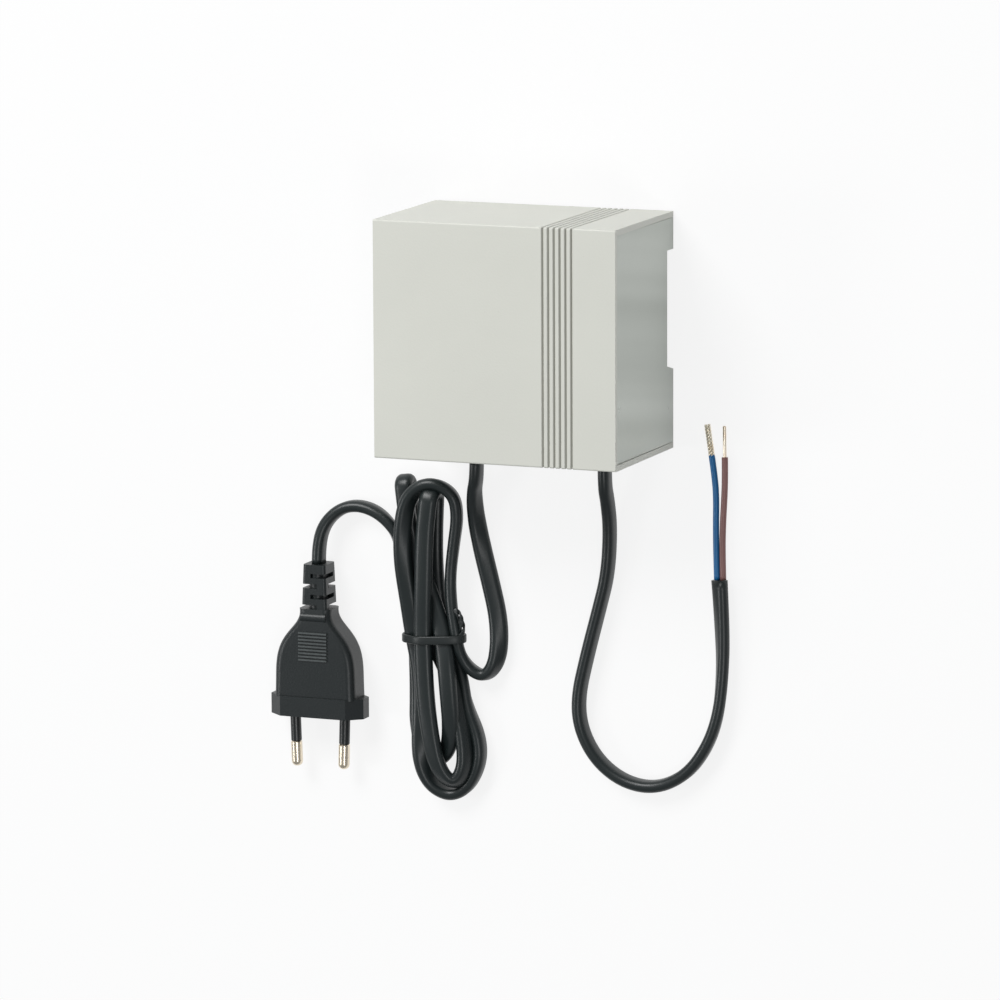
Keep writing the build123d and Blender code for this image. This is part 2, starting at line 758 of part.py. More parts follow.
with BuildPart() as fuse_clips:
    for side in (-1, 1):
        with BuildSketch(across_fuse.offset(side * (fuse_length - fuse_cap_length) / 2)):
            Circle(fuse_diameter / 2 + clip_wall)
            with Locations((0, -fuse_height / 2)):
                Rectangle(clip_foot_width, fuse_height)
            Circle(fuse_diameter / 2, mode=Mode.SUBTRACT)
            with Locations((0, clip_mouth_rise)):
                Rectangle(2 * fuse_diameter, 2 * fuse_diameter, align=(Align.CENTER, Align.MIN),
                          mode=Mode.SUBTRACT)
        extrude(amount=clip_width / 2, both=True)
fuse_clips.part.label = "fuse_clips"
export_step(fuse_clips.part, "parts/fuse_clips.step")

# Bushings, the held stretch of each lead, and the clamps on it
for name, (x, wide, high) in lead_sections.items():
    floor_drop = lead_height - bushing_floor
    with BuildPart() as bushing:
        with BuildSketch(along_lead(x, wall_inside_y + bushing_fit)):
            with Locations((0, -floor_drop)):
                Rectangle(bushing_core_width, floor_drop + bushing_core_rise, align=(Align.CENTER, Align.MIN))
        extrude(amount=wall_inside_y - wall_outside_y + 2 * bushing_fit)
        for y in (bushing_inner_y, wall_outside_y - bushing_fit):
            with BuildSketch(along_lead(x, y)) as flange_outline:
                with Locations((0, -floor_drop)):
                    Rectangle(bushing_core_width + 2 * bushing_flange_reach,
                              floor_drop + bushing_core_rise + bushing_flange_reach,
                              align=(Align.CENTER, Align.MIN))
                fillet(flange_outline.vertices().group_by(Axis.Z)[-1], bushing_corner)
            extrude(amount=bushing_flange)
        nose_root = wall_outside_y - bushing_fit - bushing_flange
        with BuildSketch(along_lead(x, nose_root)):
            flat_section(wide + 4 * bushing_nose_wall, high + 4 * bushing_nose_wall)
        with BuildSketch(along_lead(x, nose_end_y)):
            flat_section(wide + 2 * bushing_nose_wall, high + 2 * bushing_nose_wall)
        loft()
        with BuildSketch(along_lead(x, bushing_inner_y + bushing_tail)):
            flat_section(wide + 2 * bushing_nose_wall, high + 2 * bushing_nose_wall)
        extrude(amount=bushing_tail)
        with BuildSketch(along_lead(x, bushing_inner_y + bushing_tail)):
            flat_section(wide + 2 * bushing_fit, high + 2 * bushing_fit)
        extrude(amount=2 * case_height, mode=Mode.SUBTRACT)
    bushing.part.label = name + "_bushing"
    export_step(bushing.part, "parts/" + name + "_bushing.step")

    with BuildPart() as sheath:
        with BuildSketch(along_lead(x, sheath_end_y)):
            flat_section(wide, high)
        extrude(amount=sheath_end_y - nose_end_y)
    sheath.part.label = name + "_lead_inlet"
    export_step(sheath.part, "parts/" + name + "_lead_inlet.step")

    clamp_bottom = lead_height + high / 2
    with BuildPart() as clamp:
        with BuildSketch(Plane.XY.offset(clamp_bottom)):
            with Locations((x, clamp_y)):
                RectangleRounded(clamp_width, clamp_depth, clamp_depth / 4)
        extrude(amount=clamp_thickness)
        with Locations(*[Location((x + side * clamp_screw_spacing / 2, clamp_y,
                                   clamp_bottom + clamp_thickness)) for side in (-1, 1)]):
            Hole(clamp_screw_diameter / 2 + screw_clearance)
        with Locations(Location((x, clamp_y, clamp_bottom + clamp_thickness))):
            Box(clamp_screw_spacing - clamp_screw_head - 2 * clamp_rib_gap, clamp_depth, clamp_thickness / 2)
    clamp.part.label = name + "_lead_clamp"
    export_step(clamp.part, "parts/" + name + "_lead_clamp.step")

with BuildPart() as clamp_screws:
    clamp_screw = screw(clamp_screw_head, clamp_screw_head_height, clamp_screw_diameter, clamp_screw_length)
    for x, wide, high in lead_sections.values():
        with Locations(*[Location((x + side * clamp_screw_spacing / 2, clamp_y,
                                   lead_height + high / 2 + clamp_thickness)) for side in (-1, 1)]):
            add(clamp_screw)
clamp_screws.part.label = "clamp_screws"
export_step(clamp_screws.part, "parts/clamp_screws.step")

# Cores of both leads, up past the board's edge and into the terminals
wire_z = board_top + terminal_wire_height
wire_tip_y = terminal_face_y - wire_insertion
inner_wires = {}
for lead, (x, wide, high) in lead_sections.items():
    for side, colour in ((-1, "blue"), (1, "brown")):
        start_z = lead_height + side * core_wire_pitch / 2
        end_x = x + side * terminal_pitch / 2
        inner_wires[lead + "_core_" + colour] = [
            (x, sheath_end_y, start_z),
            (end_x, wire_gap_y, start_z),
            (end_x, wire_gap_y, wire_z),
            (end_x, wire_tip_y, wire_z),
        ]
for name, route in inner_wires.items():
    part = tube(name, route, core_wire_diameter)
    export_step(part, "parts/" + name + ".step")

# Wires from the windings over the lower yoke to the board
wire_top_z = stack_top + clamp_bar_thickness + 2 * winding_wire_diameter
bobbin_end_y = core_centre_y - bobbin_length / 2
wire_pad_y = board_back_y - 2 * winding_wire_diameter
wire_inset_x = (board_screw_spacing + board_screw_head + winding_wire_diameter) / 2 + winding_wire_side_gap
for name, side in (("primary_wires", -1), ("secondary_wires", 1)):
    with BuildPart() as wires:
        for place in (0, 1):
            x = side * (wire_inset_x + place * winding_wire_space)
            route = [(x, bobbin_end_y, wire_top_z), (x, core_bottom, wire_top_z),
                     (x, wire_pad_y, (wire_top_z + board_top) / 2), (x, wire_pad_y, board_top)]
            add(tube(name, route, winding_wire_diameter))
    wires.part.label = name
    export_step(wires.part, "parts/" + name + ".step")

# Free stretches of the leads
free_leads = {}
for name, route, diameter in (
    ("mains_lead", mains_route, free_lead_diameter),
    ("plug_lead", plug_route, free_lead_diameter),
    ("output_lead", output_route, free_lead_diameter),
    ("blue_core", blue_route, core_wire_diameter),
    ("brown_core", brown_route, core_wire_diameter),
):
    free_leads[name] = tube(name, route, diameter)
    export_step(free_leads[name], "parts/" + name + ".step")

# Bared ends: twisted and tinned strands on the blue core, a plain conductor on the brown one
for name, route, diameter, length in (
    ("blue_end", blue_route, strand_diameter, strand_length),
    ("brown_end", brown_route, solid_end_diameter, solid_end_length),
):
    tip = Vector(*route[-1])
    direction = (tip - Vector(*route[-2])).normalized()
    with BuildPart() as bare_end:
        with BuildSketch(Plane(origin=tip, z_dir=direction)):
            Circle(diameter / 2)
        extrude(amount=length)
        chamfer(bare_end.faces().sort_by(Axis.Y)[-1].edges(), bare_end_edge)
    bare_end.part.label = name
    export_step(bare_end.part, "parts/" + name + ".step")

# Tied hank of the mains lead as one body of its outer shape
with BuildPart() as mains_hank:
    with BuildSketch(Plane.XY):
        with BuildLine():
            Spline(*hank_outline, periodic=True)
        make_face()
    extrude(amount=hank_height)
    chamfer(mains_hank.edges().group_by(Axis.Z)[-1], hank_edge)
    with BuildSketch(Plane.XY):
        for gap in hank_gaps:
            Polygon(*gap, align=None)
    extrude(amount=hank_height, mode=Mode.SUBTRACT)
    # The wire tie passes under the hank here
    with BuildSketch(Plane.XY):
        with Locations((waist_middle, tie_y)):
            Rectangle(2 * waist_width, tie_width)
    extrude(amount=tie_thickness, mode=Mode.SUBTRACT)
    # Both ends of the lead come out of it
    add(free_leads["mains_lead"], mode=Mode.SUBTRACT)
    add(free_leads["plug_lead"], mode=Mode.SUBTRACT)
mains_hank.part.label = "mains_hank"
export_step(mains_hank.part, "parts/mains_hank.step")

# Wire tie round the hank's waist, with its twisted ends
with BuildPart() as hank_tie:
    across_hank = Plane(origin=(waist_middle, tie_y, 0), x_dir=(1, 0, 0), z_dir=(0, -1, 0))
    with BuildSketch(across_hank) as tie_outline:
        Rectangle(waist_width + 2 * tie_thickness, hank_height + tie_thickness,
                  align=(Align.CENTER, Align.MIN))
        fillet(tie_outline.vertices(), hank_edge / 2)
    extrude(amount=tie_width / 2, both=True)
    add(mains_hank.part, mode=Mode.SUBTRACT)
    add(free_leads["mains_lead"], mode=Mode.SUBTRACT)
hank_tie.part.label = "hank_tie"
export_step(hank_tie.part, "parts/hank_tie.step")

# The pins lean towards each other, so each has its own plane at the plug's face
pin_lean = (pin_spacing_root - pin_spacing_tip) / 2 / pin_length
pin_core_radius = pin_sleeve_diameter / 2 - pin_sleeve_wall
pin_planes = {
    name: Plane(origin=(plug_x + side * pin_spacing_root / 2, plug_face_y, plug_z),
                z_dir=(-side * pin_lean, -1, 0))
    for name, side in (("left", -1), ("right", 1))
}

# Plug: bell-shaped body with the flange, a ribbed grip on both flat sides and a slotted relief
with BuildPart() as plug_body:
    plug_stations = [
        (flange_thickness - plug_sink, plug_width, plug_height),
        (flange_thickness + 6.0, plug_width * 0.987, plug_height),
        (flange_thickness + 14.0, plug_width * 0.948, plug_height),
        (flange_thickness + 20.0, plug_width * 0.797, plug_height),
        (flange_thickness + 25.0, plug_width * 0.54, plug_height * 0.976),
        (plug_length, neck_width, neck_height),
    ]
    for distance, wide, high in plug_stations:
        with BuildSketch(Plane(origin=(plug_x, plug_face_y + distance, plug_z), x_dir=(1, 0, 0),
                               z_dir=(0, -1, 0))):
            RectangleRounded(wide, high, plug_corner)
    loft()
    across_plug = Plane(origin=(plug_x, plug_face_y, plug_z), x_dir=(1, 0, 0), z_dir=(0, -1, 0))
    with BuildSketch(across_plug):
        Polygon((-flange_width / 2, -flange_end / 2), (-flange_flat / 2, -flange_height / 2),
                (flange_flat / 2, -flange_height / 2), (flange_width / 2, -flange_end / 2),
                (flange_width / 2, flange_end / 2), (flange_flat / 2, flange_height / 2),
                (-flange_flat / 2, flange_height / 2), (-flange_width / 2, flange_end / 2), align=None)
    extrude(amount=-flange_thickness)
    # Relief block with slots cut from opposite corners, in turn, down to a wall round the lead
    with BuildSketch(across_plug.offset(-plug_length)):
        RectangleRounded(relief_width, relief_height, relief_corner)
    with BuildSketch(across_plug.offset(-plug_length - relief_length)):
        RectangleRounded(relief_width - relief_taper, relief_height - relief_taper / 2, relief_corner)
    loft()
    core_wide = lead_thickness + 2 * relief_core_wall
    core_high = lead_width + 2 * relief_core_wall
    for step in range(relief_slots):
        hand = 1 if step % 2 else -1
        slot_y = neck_y + relief_slot / 2 + step * relief_pitch
        with BuildSketch(Plane(origin=(plug_x, slot_y, plug_z), x_dir=(1, 0, 0), z_dir=(0, -1, 0))):
            with Locations((hand * relief_slot_inset, relief_slot_rise),
                           (-hand * relief_slot_inset, -relief_slot_rise)):
                Rectangle(relief_width, relief_height)
            SlotOverall(core_high, core_wide, rotation=90, mode=Mode.SUBTRACT)
        extrude(amount=relief_slot / 2, both=True, mode=Mode.SUBTRACT)
    # Rounded roll across both flat sides, between the relief and the grip
    roll_centre = roll_height - roll_radius
    with BuildSketch(Plane.YZ.offset(plug_x)):
        with Locations((plug_face_y + roll_start, plug_z - roll_centre),
                       (plug_face_y + roll_start, plug_z + roll_centre)):
            Circle(roll_radius)
    extrude(amount=roll_width / 2, both=True)
    # Grip bars on both flat sides
    bar_pitch = grip_length / (grip_bars - 0.5)
    for side in (-1, 1):
        flat = Plane(origin=(plug_x, plug_face_y, plug_z), x_dir=(1, 0, 0), z_dir=(0, 0, side))
        with BuildSketch(flat.offset(plug_height / 2 - grip_bar_height)):
            for bar in range(grip_bars):
                with Locations((0, side * (grip_start + bar * bar_pitch))):
                    Rectangle(grip_width, bar_pitch / 2)
        extrude(amount=2 * grip_bar_height)
    # Seat for the pin carrier and bores for the pins
    with BuildSketch(across_plug):
        SlotOverall(carrier_width, carrier_height)
    extrude(amount=-carrier_depth, mode=Mode.SUBTRACT)
    for pin_plane in pin_planes.values():
        with BuildSketch(pin_plane):
            Circle(pin_core_radius + pin_bore_gap)
        extrude(amount=-carrier_depth - pin_root_depth, mode=Mode.SUBTRACT)
plug_body.part.label = "plug_body"
export_step(plug_body.part, "parts/plug_body.step")

# Pins with rounded tips, and the hard carrier with a sleeve round the root of each pin
with BuildPart() as pin_carrier:
    with BuildSketch(across_plug):
        SlotOverall(carrier_width - 2 * carrier_fit, carrier_height - 2 * carrier_fit)
    extrude(amount=-carrier_depth + carrier_fit)
    for pin_plane in pin_planes.values():
        with BuildSketch(pin_plane):
            Circle(pin_sleeve_diameter / 2)
        extrude(amount=pin_sleeve_length)
    sleeve_ends = pin_carrier.faces().sort_by(Axis.Y)[:2]
    chamfer(sleeve_ends[0].edges() + sleeve_ends[1].edges(), pin_collar_edge)
    for pin_plane in pin_planes.values():
        with BuildSketch(pin_plane):
            Circle(pin_core_radius + pin_bore_gap)
        extrude(amount=pin_length, both=True, mode=Mode.SUBTRACT)
pin_carrier.part.label = "pin_carrier"
export_step(pin_carrier.part, "parts/pin_carrier.step")

for name, pin_plane in pin_planes.items():
    with BuildPart() as pin:
        with BuildSketch(pin_plane.offset(pin_sleeve_length)):
            Circle(pin_core_radius)
        extrude(amount=-carrier_depth - pin_root_depth + pin_end_gap - pin_sleeve_length)
        with BuildSketch(pin_plane.offset(pin_sleeve_length)):
            Circle(pin_diameter / 2)
        extrude(amount=pin_length - pin_sleeve_length)
        fillet(pin.faces().sort_by(Axis.Y)[0].edges(), pin_rounding)
        widest_edges = pin.edges().filter_by(GeomType.CIRCLE).group_by(SortBy.RADIUS)[-1]
        chamfer(widest_edges.sort_by(Axis.Y)[-1], pin_collar_edge)
    pin.part.label = "plug_pin_" + name
    export_step(pin.part, "parts/plug_pin_" + name + ".step")
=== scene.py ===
from math import cos, pi, radians, sin

import bmesh
import bpy
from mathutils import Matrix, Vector


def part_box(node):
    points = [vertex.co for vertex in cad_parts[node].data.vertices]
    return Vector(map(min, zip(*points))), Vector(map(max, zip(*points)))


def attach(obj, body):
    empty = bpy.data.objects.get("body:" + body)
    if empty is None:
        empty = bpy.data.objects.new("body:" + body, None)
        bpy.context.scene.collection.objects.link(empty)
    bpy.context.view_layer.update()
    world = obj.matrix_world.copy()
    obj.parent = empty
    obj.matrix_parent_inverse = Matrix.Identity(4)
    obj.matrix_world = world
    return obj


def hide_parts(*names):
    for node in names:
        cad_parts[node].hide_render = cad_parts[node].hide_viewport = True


bl_info = {
    "name": "Plug-in transformer looks",
    "version": (1, 0, 0),
    "blender": (4, 5, 0),
    "location": "3D View > Sidebar > Transformer",
    "description": "Finishes, leads, wire tie and studio for a transformer with a plug",
    "category": "Object",
}

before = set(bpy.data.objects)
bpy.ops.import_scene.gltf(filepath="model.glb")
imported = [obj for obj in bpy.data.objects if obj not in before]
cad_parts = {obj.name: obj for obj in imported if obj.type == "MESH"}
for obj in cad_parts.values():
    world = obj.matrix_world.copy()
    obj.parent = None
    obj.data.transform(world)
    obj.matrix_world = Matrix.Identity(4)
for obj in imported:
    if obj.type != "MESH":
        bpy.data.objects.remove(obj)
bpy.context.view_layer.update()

# Control points of the mains lead: a place in metres, and how far the lead's wide side is turned
# up from level, in degrees. The lead leaves its bushing, turns back at a bend, runs through the
# tied hank and ends in an arch into the plug.
MAINS_POINTS = [
    (-0.0254, -0.0481, 0.0090, 90),
    (-0.0254, -0.0540, 0.0090, 90),
    (-0.0277, -0.0599, 0.0060, 80),
    (-0.0279, -0.0699, 0.0034, 52),
    (-0.0258, -0.0811, 0.0026, 24),
    (-0.0229, -0.0922, 0.0026, 16),
    (-0.0201, -0.1040, 0.0026, 16),
    (-0.0195, -0.1144, 0.0031, 32),
    (-0.0211, -0.1216, 0.0033, 62),
    (-0.0250, -0.1256, 0.0034, 80),
    (-0.0301, -0.1233, 0.0042, 80),
    (-0.0335, -0.1175, 0.0060, 62),
    (-0.0343, -0.1099, 0.0075, 62),
    (-0.0361, -0.0998, 0.0068, 70),
    (-0.0367, -0.0902, 0.0063, 68),
    (-0.0352, -0.0793, 0.0066, 76),
    (-0.0333, -0.0680, 0.0071, 80),
    (-0.0346, -0.0601, 0.0082, 78),
    (-0.0426, -0.0563, 0.0095, 75),
    (-0.0506, -0.0614, 0.0103, 58),
    (-0.0529, -0.0732, 0.0105, 35),
    (-0.0531, -0.0862, 0.0097, 16),
    (-0.0517, -0.0994, 0.0079, 4),
    (-0.0507, -0.1116, 0.0060, 0),
    (-0.0481, -0.1233, 0.0062, 0),
    (-0.0478, -0.1372, 0.0062, 0),
    (-0.0480, -0.1505, 0.0071, 15),
    (-0.0473, -0.1587, 0.0064, 42),
    (-0.0445, -0.1654, 0.0049, 68),
    (-0.0380, -0.1690, 0.0035, 82),
    (-0.0311, -0.1656, 0.0032, 88),
    (-0.0267, -0.1562, 0.0032, 88),
    (-0.0272, -0.1470, 0.0032, 88),
    (-0.0316, -0.1372, 0.0031, 78),
    (-0.0339, -0.1274, 0.0028, 45),
    (-0.0376, -0.1185, 0.0022, 8),
    (-0.0403, -0.1105, 0.0033, 0),
    (-0.0432, -0.0989, 0.0027, 0),
    (-0.0434, -0.0865, 0.0046, 0),
    (-0.0432, -0.0744, 0.0050, 0),
    (-0.0427, -0.0646, 0.0052, 0),
    (-0.0425, -0.0620, 0.0053, 0),
    (-0.0422, -0.0602, 0.0071, 0),
    (-0.0422, -0.0602, 0.0096, 0),
    (-0.0426, -0.0620, 0.0114, 0),
    (-0.0430, -0.0648, 0.0115, 0),
    (-0.0441, -0.0742, 0.0114, 0),
    (-0.0445, -0.0851, 0.0115, 0),
    (-0.0450, -0.0984, 0.0111, 0),
    (-0.0456, -0.1105, 0.0101, 0),
    (-0.0452, -0.1226, 0.0102, 0),
    (-0.0444, -0.1346, 0.0104, 0),
    (-0.0428, -0.1470, 0.0105, -4),
    (-0.0409, -0.1568, 0.0097, -16),
    (-0.0376, -0.1626, 0.0079, -40),
    (-0.0337, -0.1629, 0.0068, -54),
    (-0.0310, -0.1566, 0.0065, -56),
    (-0.0318, -0.1467, 0.0063, -58),
    (-0.0340, -0.1368, 0.0061, -58),
    (-0.0366, -0.1271, 0.0052, -45),
    (-0.0422, -0.1186, 0.0026, -10),
    (-0.0465, -0.1109, 0.0033, 0),
    (-0.0484, -0.0994, 0.0021, 0),
    (-0.0503, -0.0874, 0.0021, 0),
    (-0.0528, -0.0750, 0.0021, 0),
    (-0.0539, -0.0608, 0.0021, 0),
    (-0.0540, -0.0586, 0.0022, 0),
    (-0.0542, -0.0572, 0.0035, 0),
    (-0.0541, -0.0572, 0.0054, 0),
    (-0.0539, -0.0586, 0.0067, 0),
    (-0.0537, -0.0608, 0.0067, 0),
    (-0.0521, -0.0748, 0.0063, 0),
    (-0.0498, -0.0826, 0.0064, 0),
    (-0.0464, -0.0908, 0.0068, 0),
    (-0.0425, -0.1002, 0.0074, 0),
    (-0.0392, -0.1096, 0.0080, 0),
    (-0.0368, -0.1205, 0.0101, 0),
    (-0.0360, -0.1328, 0.0097, 0),
    (-0.0357, -0.1423, 0.0084, 0),
    (-0.0378, -0.1522, 0.0057, -25),
    (-0.0435, -0.1568, 0.0037, -40),
    (-0.0487, -0.1529, 0.0025, -30),
    (-0.0507, -0.1435, 0.0022, -8),
    (-0.0506, -0.1364, 0.0021, 0),
    (-0.0506, -0.1254, 0.0021, 0),
    (-0.0506, -0.1127, 0.0034, 0),
    (-0.0531, -0.1015, 0.0022, 0),
    (-0.0541, -0.0925, 0.0024, 8),
    (-0.0557, -0.0843, 0.0029, 30),
    (-0.0576, -0.0770, 0.0033, 60),
    (-0.0636, -0.0702, 0.0034, 85),
    (-0.0714, -0.0674, 0.0034, 90),
    (-0.0786, -0.0686, 0.0040, 90),
    (-0.0844, -0.0742, 0.0054, 90),
    (-0.0863, -0.0818, 0.0068, 90),
    (-0.0863, -0.0884, 0.0068, 90),
]

# Control points of the output lead, in the same way, from its bushing to its sheath's cut end
OUTPUT_POINTS = [
    (0.0222, -0.0481, 0.0090, 90),
    (0.0222, -0.0544, 0.0090, 90),
    (0.0221, -0.0601, 0.0061, 88),
    (0.0223, -0.0701, 0.0040, 88),
    (0.0212, -0.0861, 0.0034, 86),
    (0.0177, -0.0995, 0.0034, 86),
    (0.0136, -0.1147, 0.0034, 84),
    (0.0098, -0.1309, 0.0034, 84),
    (0.0112, -0.1424, 0.0034, 86),
    (0.0174, -0.1527, 0.0034, 88),
    (0.0275, -0.1594, 0.0034, 88),
    (0.0393, -0.1606, 0.0034, 88),
    (0.0504, -0.1549, 0.0034, 88),
    (0.0578, -0.1448, 0.0034, 86),
    (0.0619, -0.1331, 0.0032, 76),
    (0.0633, -0.1178, 0.0030, 62),
    (0.0631, -0.1027, 0.0028, 44),
    (0.0619, -0.0859, 0.0026, 30),
]

# Control points of the two cores, from inside the sheath to the ends of their insulation
BLUE_POINTS = [
    (0.0608, -0.0859, 0.0019),
    (0.0603, -0.0756, 0.0015),
    (0.0601, -0.0652, 0.0012),
    (0.0602, -0.0582, 0.0012),
    (0.0598, -0.0512, 0.0012),
    (0.0585, -0.0427, 0.0012),
]
BROWN_POINTS = [
    (0.0630, -0.0859, 0.0019),
    (0.0625, -0.0754, 0.0014),
    (0.0627, -0.0650, 0.0012),
    (0.0631, -0.0584, 0.0012),
    (0.0634, -0.0506, 0.0012),
    (0.0633, -0.0433, 0.0012),
]

# The wire tie: where it goes round the hank, how far it leans, the sides of the bundle there, the
# line of its twisted ends, and the angle that they turn through
TIE_Y = -0.1123
TIE_LEAN = 0.05
BUNDLE_LEFT = -0.062
BUNDLE_RIGHT = -0.026
TWIST_POINTS = [
    (-0.0362, -0.1126, 0.0074),
    (-0.0337, -0.1122, 0.0080),
    (-0.0318, -0.1106, 0.0088),
    (-0.0308, -0.1078, 0.0094),
    (-0.0312, -0.1046, 0.0098),
    (-0.0325, -0.1020, 0.0098),
    (-0.0336, -0.1012, 0.0094),
]
TWIST_ANGLE = 3.2 * pi

# The blue core's bare strands: how many lie round the middle one, their turns over the bared
# length, and how far they start inside the insulation
OUTER_STRANDS = 5
STRAND_TURNS = 1.9
STRAND_INSIDE = 0.0004

# Places on the cover that its finish follows: its front, its upper and lower faces as a distance
# from the middle, and its grooves
COVER_FRONT = 0.0560
COVER_SIDE = 0.0410
GROOVES_MIDDLE = 0.0230
GROOVES_REACH = 0.0064
GROOVE_DEPTH = 0.00065

# Places on the plug that its finish follows: its middle height, and the bars of its grip
PLUG_Z = 0.00685
GRIP_TOP = 0.00645
GRIP_Y = -0.1173
GRIP_REACH = 0.0062

# Painted reflection bands on the side walls: their slope, their width, and where along the noise
# they start
BAND_SLOPE = 0.147
BAND_WIDTH = 0.017
BAND_START = 3.1

# Steps of the fine patterns inside the case and on the pins, and the length of the fuse's caps
SHEET_THICKNESS = 0.0005
WIRE_PITCH = 0.0007
TAPE_LAP = 0.0045
TRACK_PITCH = 0.0042
PIN_RING_PITCH = 0.00035
FUSE_CAP = 0.005

# Colours painted on the mouldings: shade in the grooves, specks, reflection bands and a grip
# highlight
GROOVE_SHADE_COLOUR = (0.15, 0.145, 0.115)
SPECK_COLOUR = (0.36, 0.35, 0.30)
REFLECTION_BAND_COLOUR = (0.475, 0.505, 0.452)
GRIP_HIGHLIGHT_COLOUR = (0.085, 0.095, 0.095)

# The camera that sees what the photograph shows, the place that the lights face, the place and
# size of each light, the floor's height, and the share of plain white that the camera sees in it
CAMERA_PLACE = (0.82971, 0.32640, 2.11836)
CAMERA_TURN = (-0.17074, 0.38088, -0.00457)
LIT_PLACE = (0.0, -0.04, 0.03)
LIGHTS = {
    "key": ((-0.62, 1.22, 1.32), 0.8),
    "gloss": ((-1.46, -0.26, 1.22), 0.45),
    "front": ((0.78, -0.42, 1.66), 0.3),
}
FLOOR_HEIGHT = -0.0003
FLOOR_WHITE = 0.84


class Value:
    """A number that varies over a surface. Python's operators on it add Math nodes."""

    def __init__(self, paint, socket):
        self.paint = paint
        self.socket = socket

    def _math(self, operation, *values):
        """What a Math node makes of these values."""
        return Value(self.paint, self.paint.node(
            "ShaderNodeMath", {"operation": operation}, dict(enumerate(values))).outputs[0])

    def __add__(self, other):
        return self._math("ADD", self, other)

    def __sub__(self, other):
        return self._math("SUBTRACT", self, other)

    def __rsub__(self, other):
        return self._math("SUBTRACT", other, self)

    def __mul__(self, other):
        return self._math("MULTIPLY", self, other)

    def __truediv__(self, other):
        return self._math("DIVIDE", self, other)

    def __pow__(self, other):
        return self._math("POWER", self, other)

    def __abs__(self):
        return self._math("ABSOLUTE", self)

    def __gt__(self, other):
        return self._math("GREATER_THAN", self, other)

    def __lt__(self, other):
        return self._math("LESS_THAN", self, other)

    __radd__ = __add__
    __rmul__ = __mul__

    def least(self, other):
        """The smaller of two values."""
        return self._math("MINIMUM", self, other)

    def wave(self):
        """Sine of this value, from -1 to 1."""
        return self._math("SINE", self)

    def part(self):
        """What this value has after its decimal point."""
        return self._math("FRACT", self)

    def clamped(self):
        """This value held between 0 and 1."""
        return self._math("MAXIMUM", self.least(1.0), 0.0)


class Paint:
    """A material, or the world, under construction: its shaders and whatever feeds them."""

    def __init__(self, name, world=False):
        self.owner = (bpy.data.worlds if world else bpy.data.materials).new(name)
        self.owner.use_nodes = True
        self.tree = self.owner.node_tree
        self.tree.nodes.clear()
        self.output = self.node("ShaderNodeOutputWorld" if world else "ShaderNodeOutputMaterial")

    @property
    def place(self):
        """The point on the surface, in metres."""
        return self.node("ShaderNodeTexCoord").outputs["Object"]

    def node(self, kind, settings=None, sockets=None):
        """Add a node: its settings, then a value or a link for each named or numbered socket."""
        made = self.tree.nodes.new(kind)
        for name, setting in (settings or {}).items():
            setattr(made, name, setting)
        for name, value in (sockets or {}).items():
            self.feed(made.inputs[name], value)
        return made

    def feed(self, socket, value):
        """Give a socket a value, a colour or a link."""
        if isinstance(value, Value):
            value = value.socket
        if isinstance(value, bpy.types.NodeSocket):
            self.tree.links.new(value, socket)
        elif isinstance(value, (tuple, list)) and len(socket.default_value) == 4:
            socket.default_value = (*value[:3], 1.0)
        else:
            socket.default_value = value

    def noise(self, size, detail=3.0, roughness=0.5, stretch=(1.0, 1.0, 1.0)):
        """Cloudy noise from 0 to 1 whose blotches are about size metres across."""
        scaled = self.node("ShaderNodeMapping", {"vector_type": "POINT"}, {
            "Vector": self.place, "Scale": tuple(part / size for part in stretch)})
        made = self.node("ShaderNodeTexNoise", {}, {
            "Vector": scaled.outputs[0], "Scale": 1.0, "Detail": detail, "Roughness": roughness})
        return Value(self, made.outputs["Fac"])

    def axis(self, name):
        """The place along X, Y or Z in metres."""
        made = self.node("ShaderNodeSeparateXYZ", {}, {0: self.place})
        return Value(self, made.outputs[name])

    def mix(self, share, first, second):
        """Colour between first and second."""
        made = self.node("ShaderNodeMix", {"data_type": "RGBA"}, {0: share, 6: first, 7: second})
        return made.outputs[2]

    def bump(self, height, depth):
        """Normals for a height from 0 to 1, depth metres deep."""
        return self.node("ShaderNodeBump", {}, {
            "Height": height, "Distance": depth, "Strength": 1.0}).outputs[0]

    def seen(self):
        """1 for what the camera, a reflection or clear glass sees, 0 for light on the object."""
        rays = self.node("ShaderNodeLightPath").outputs
        return (Value(self, rays["Is Camera Ray"]) + Value(self, rays["Is Glossy Ray"])
                + Value(self, rays["Is Transmission Ray"])).clamped()

    def surface(self, **sockets):
        """A Principled shader, its sockets named with _ for each space."""
        named = {name.replace("_", " "): value for name, value in sockets.items()}
        return self.node("ShaderNodeBsdfPrincipled", {}, named).outputs[0]

    def either(self, share, first, second):
        """A mix of two shaders."""
        return self.node("ShaderNodeMixShader", {}, {0: share, 1: first, 2: second}).outputs[0]

    def close(self, shader):
        """Show this shader, and return the material or world."""
        self.feed(self.output.inputs[0], shader)
        return self.owner

    def finish(self, **sockets):
        """Close the material with one Principled shader and return it."""
        return self.close(self.surface(**sockets))


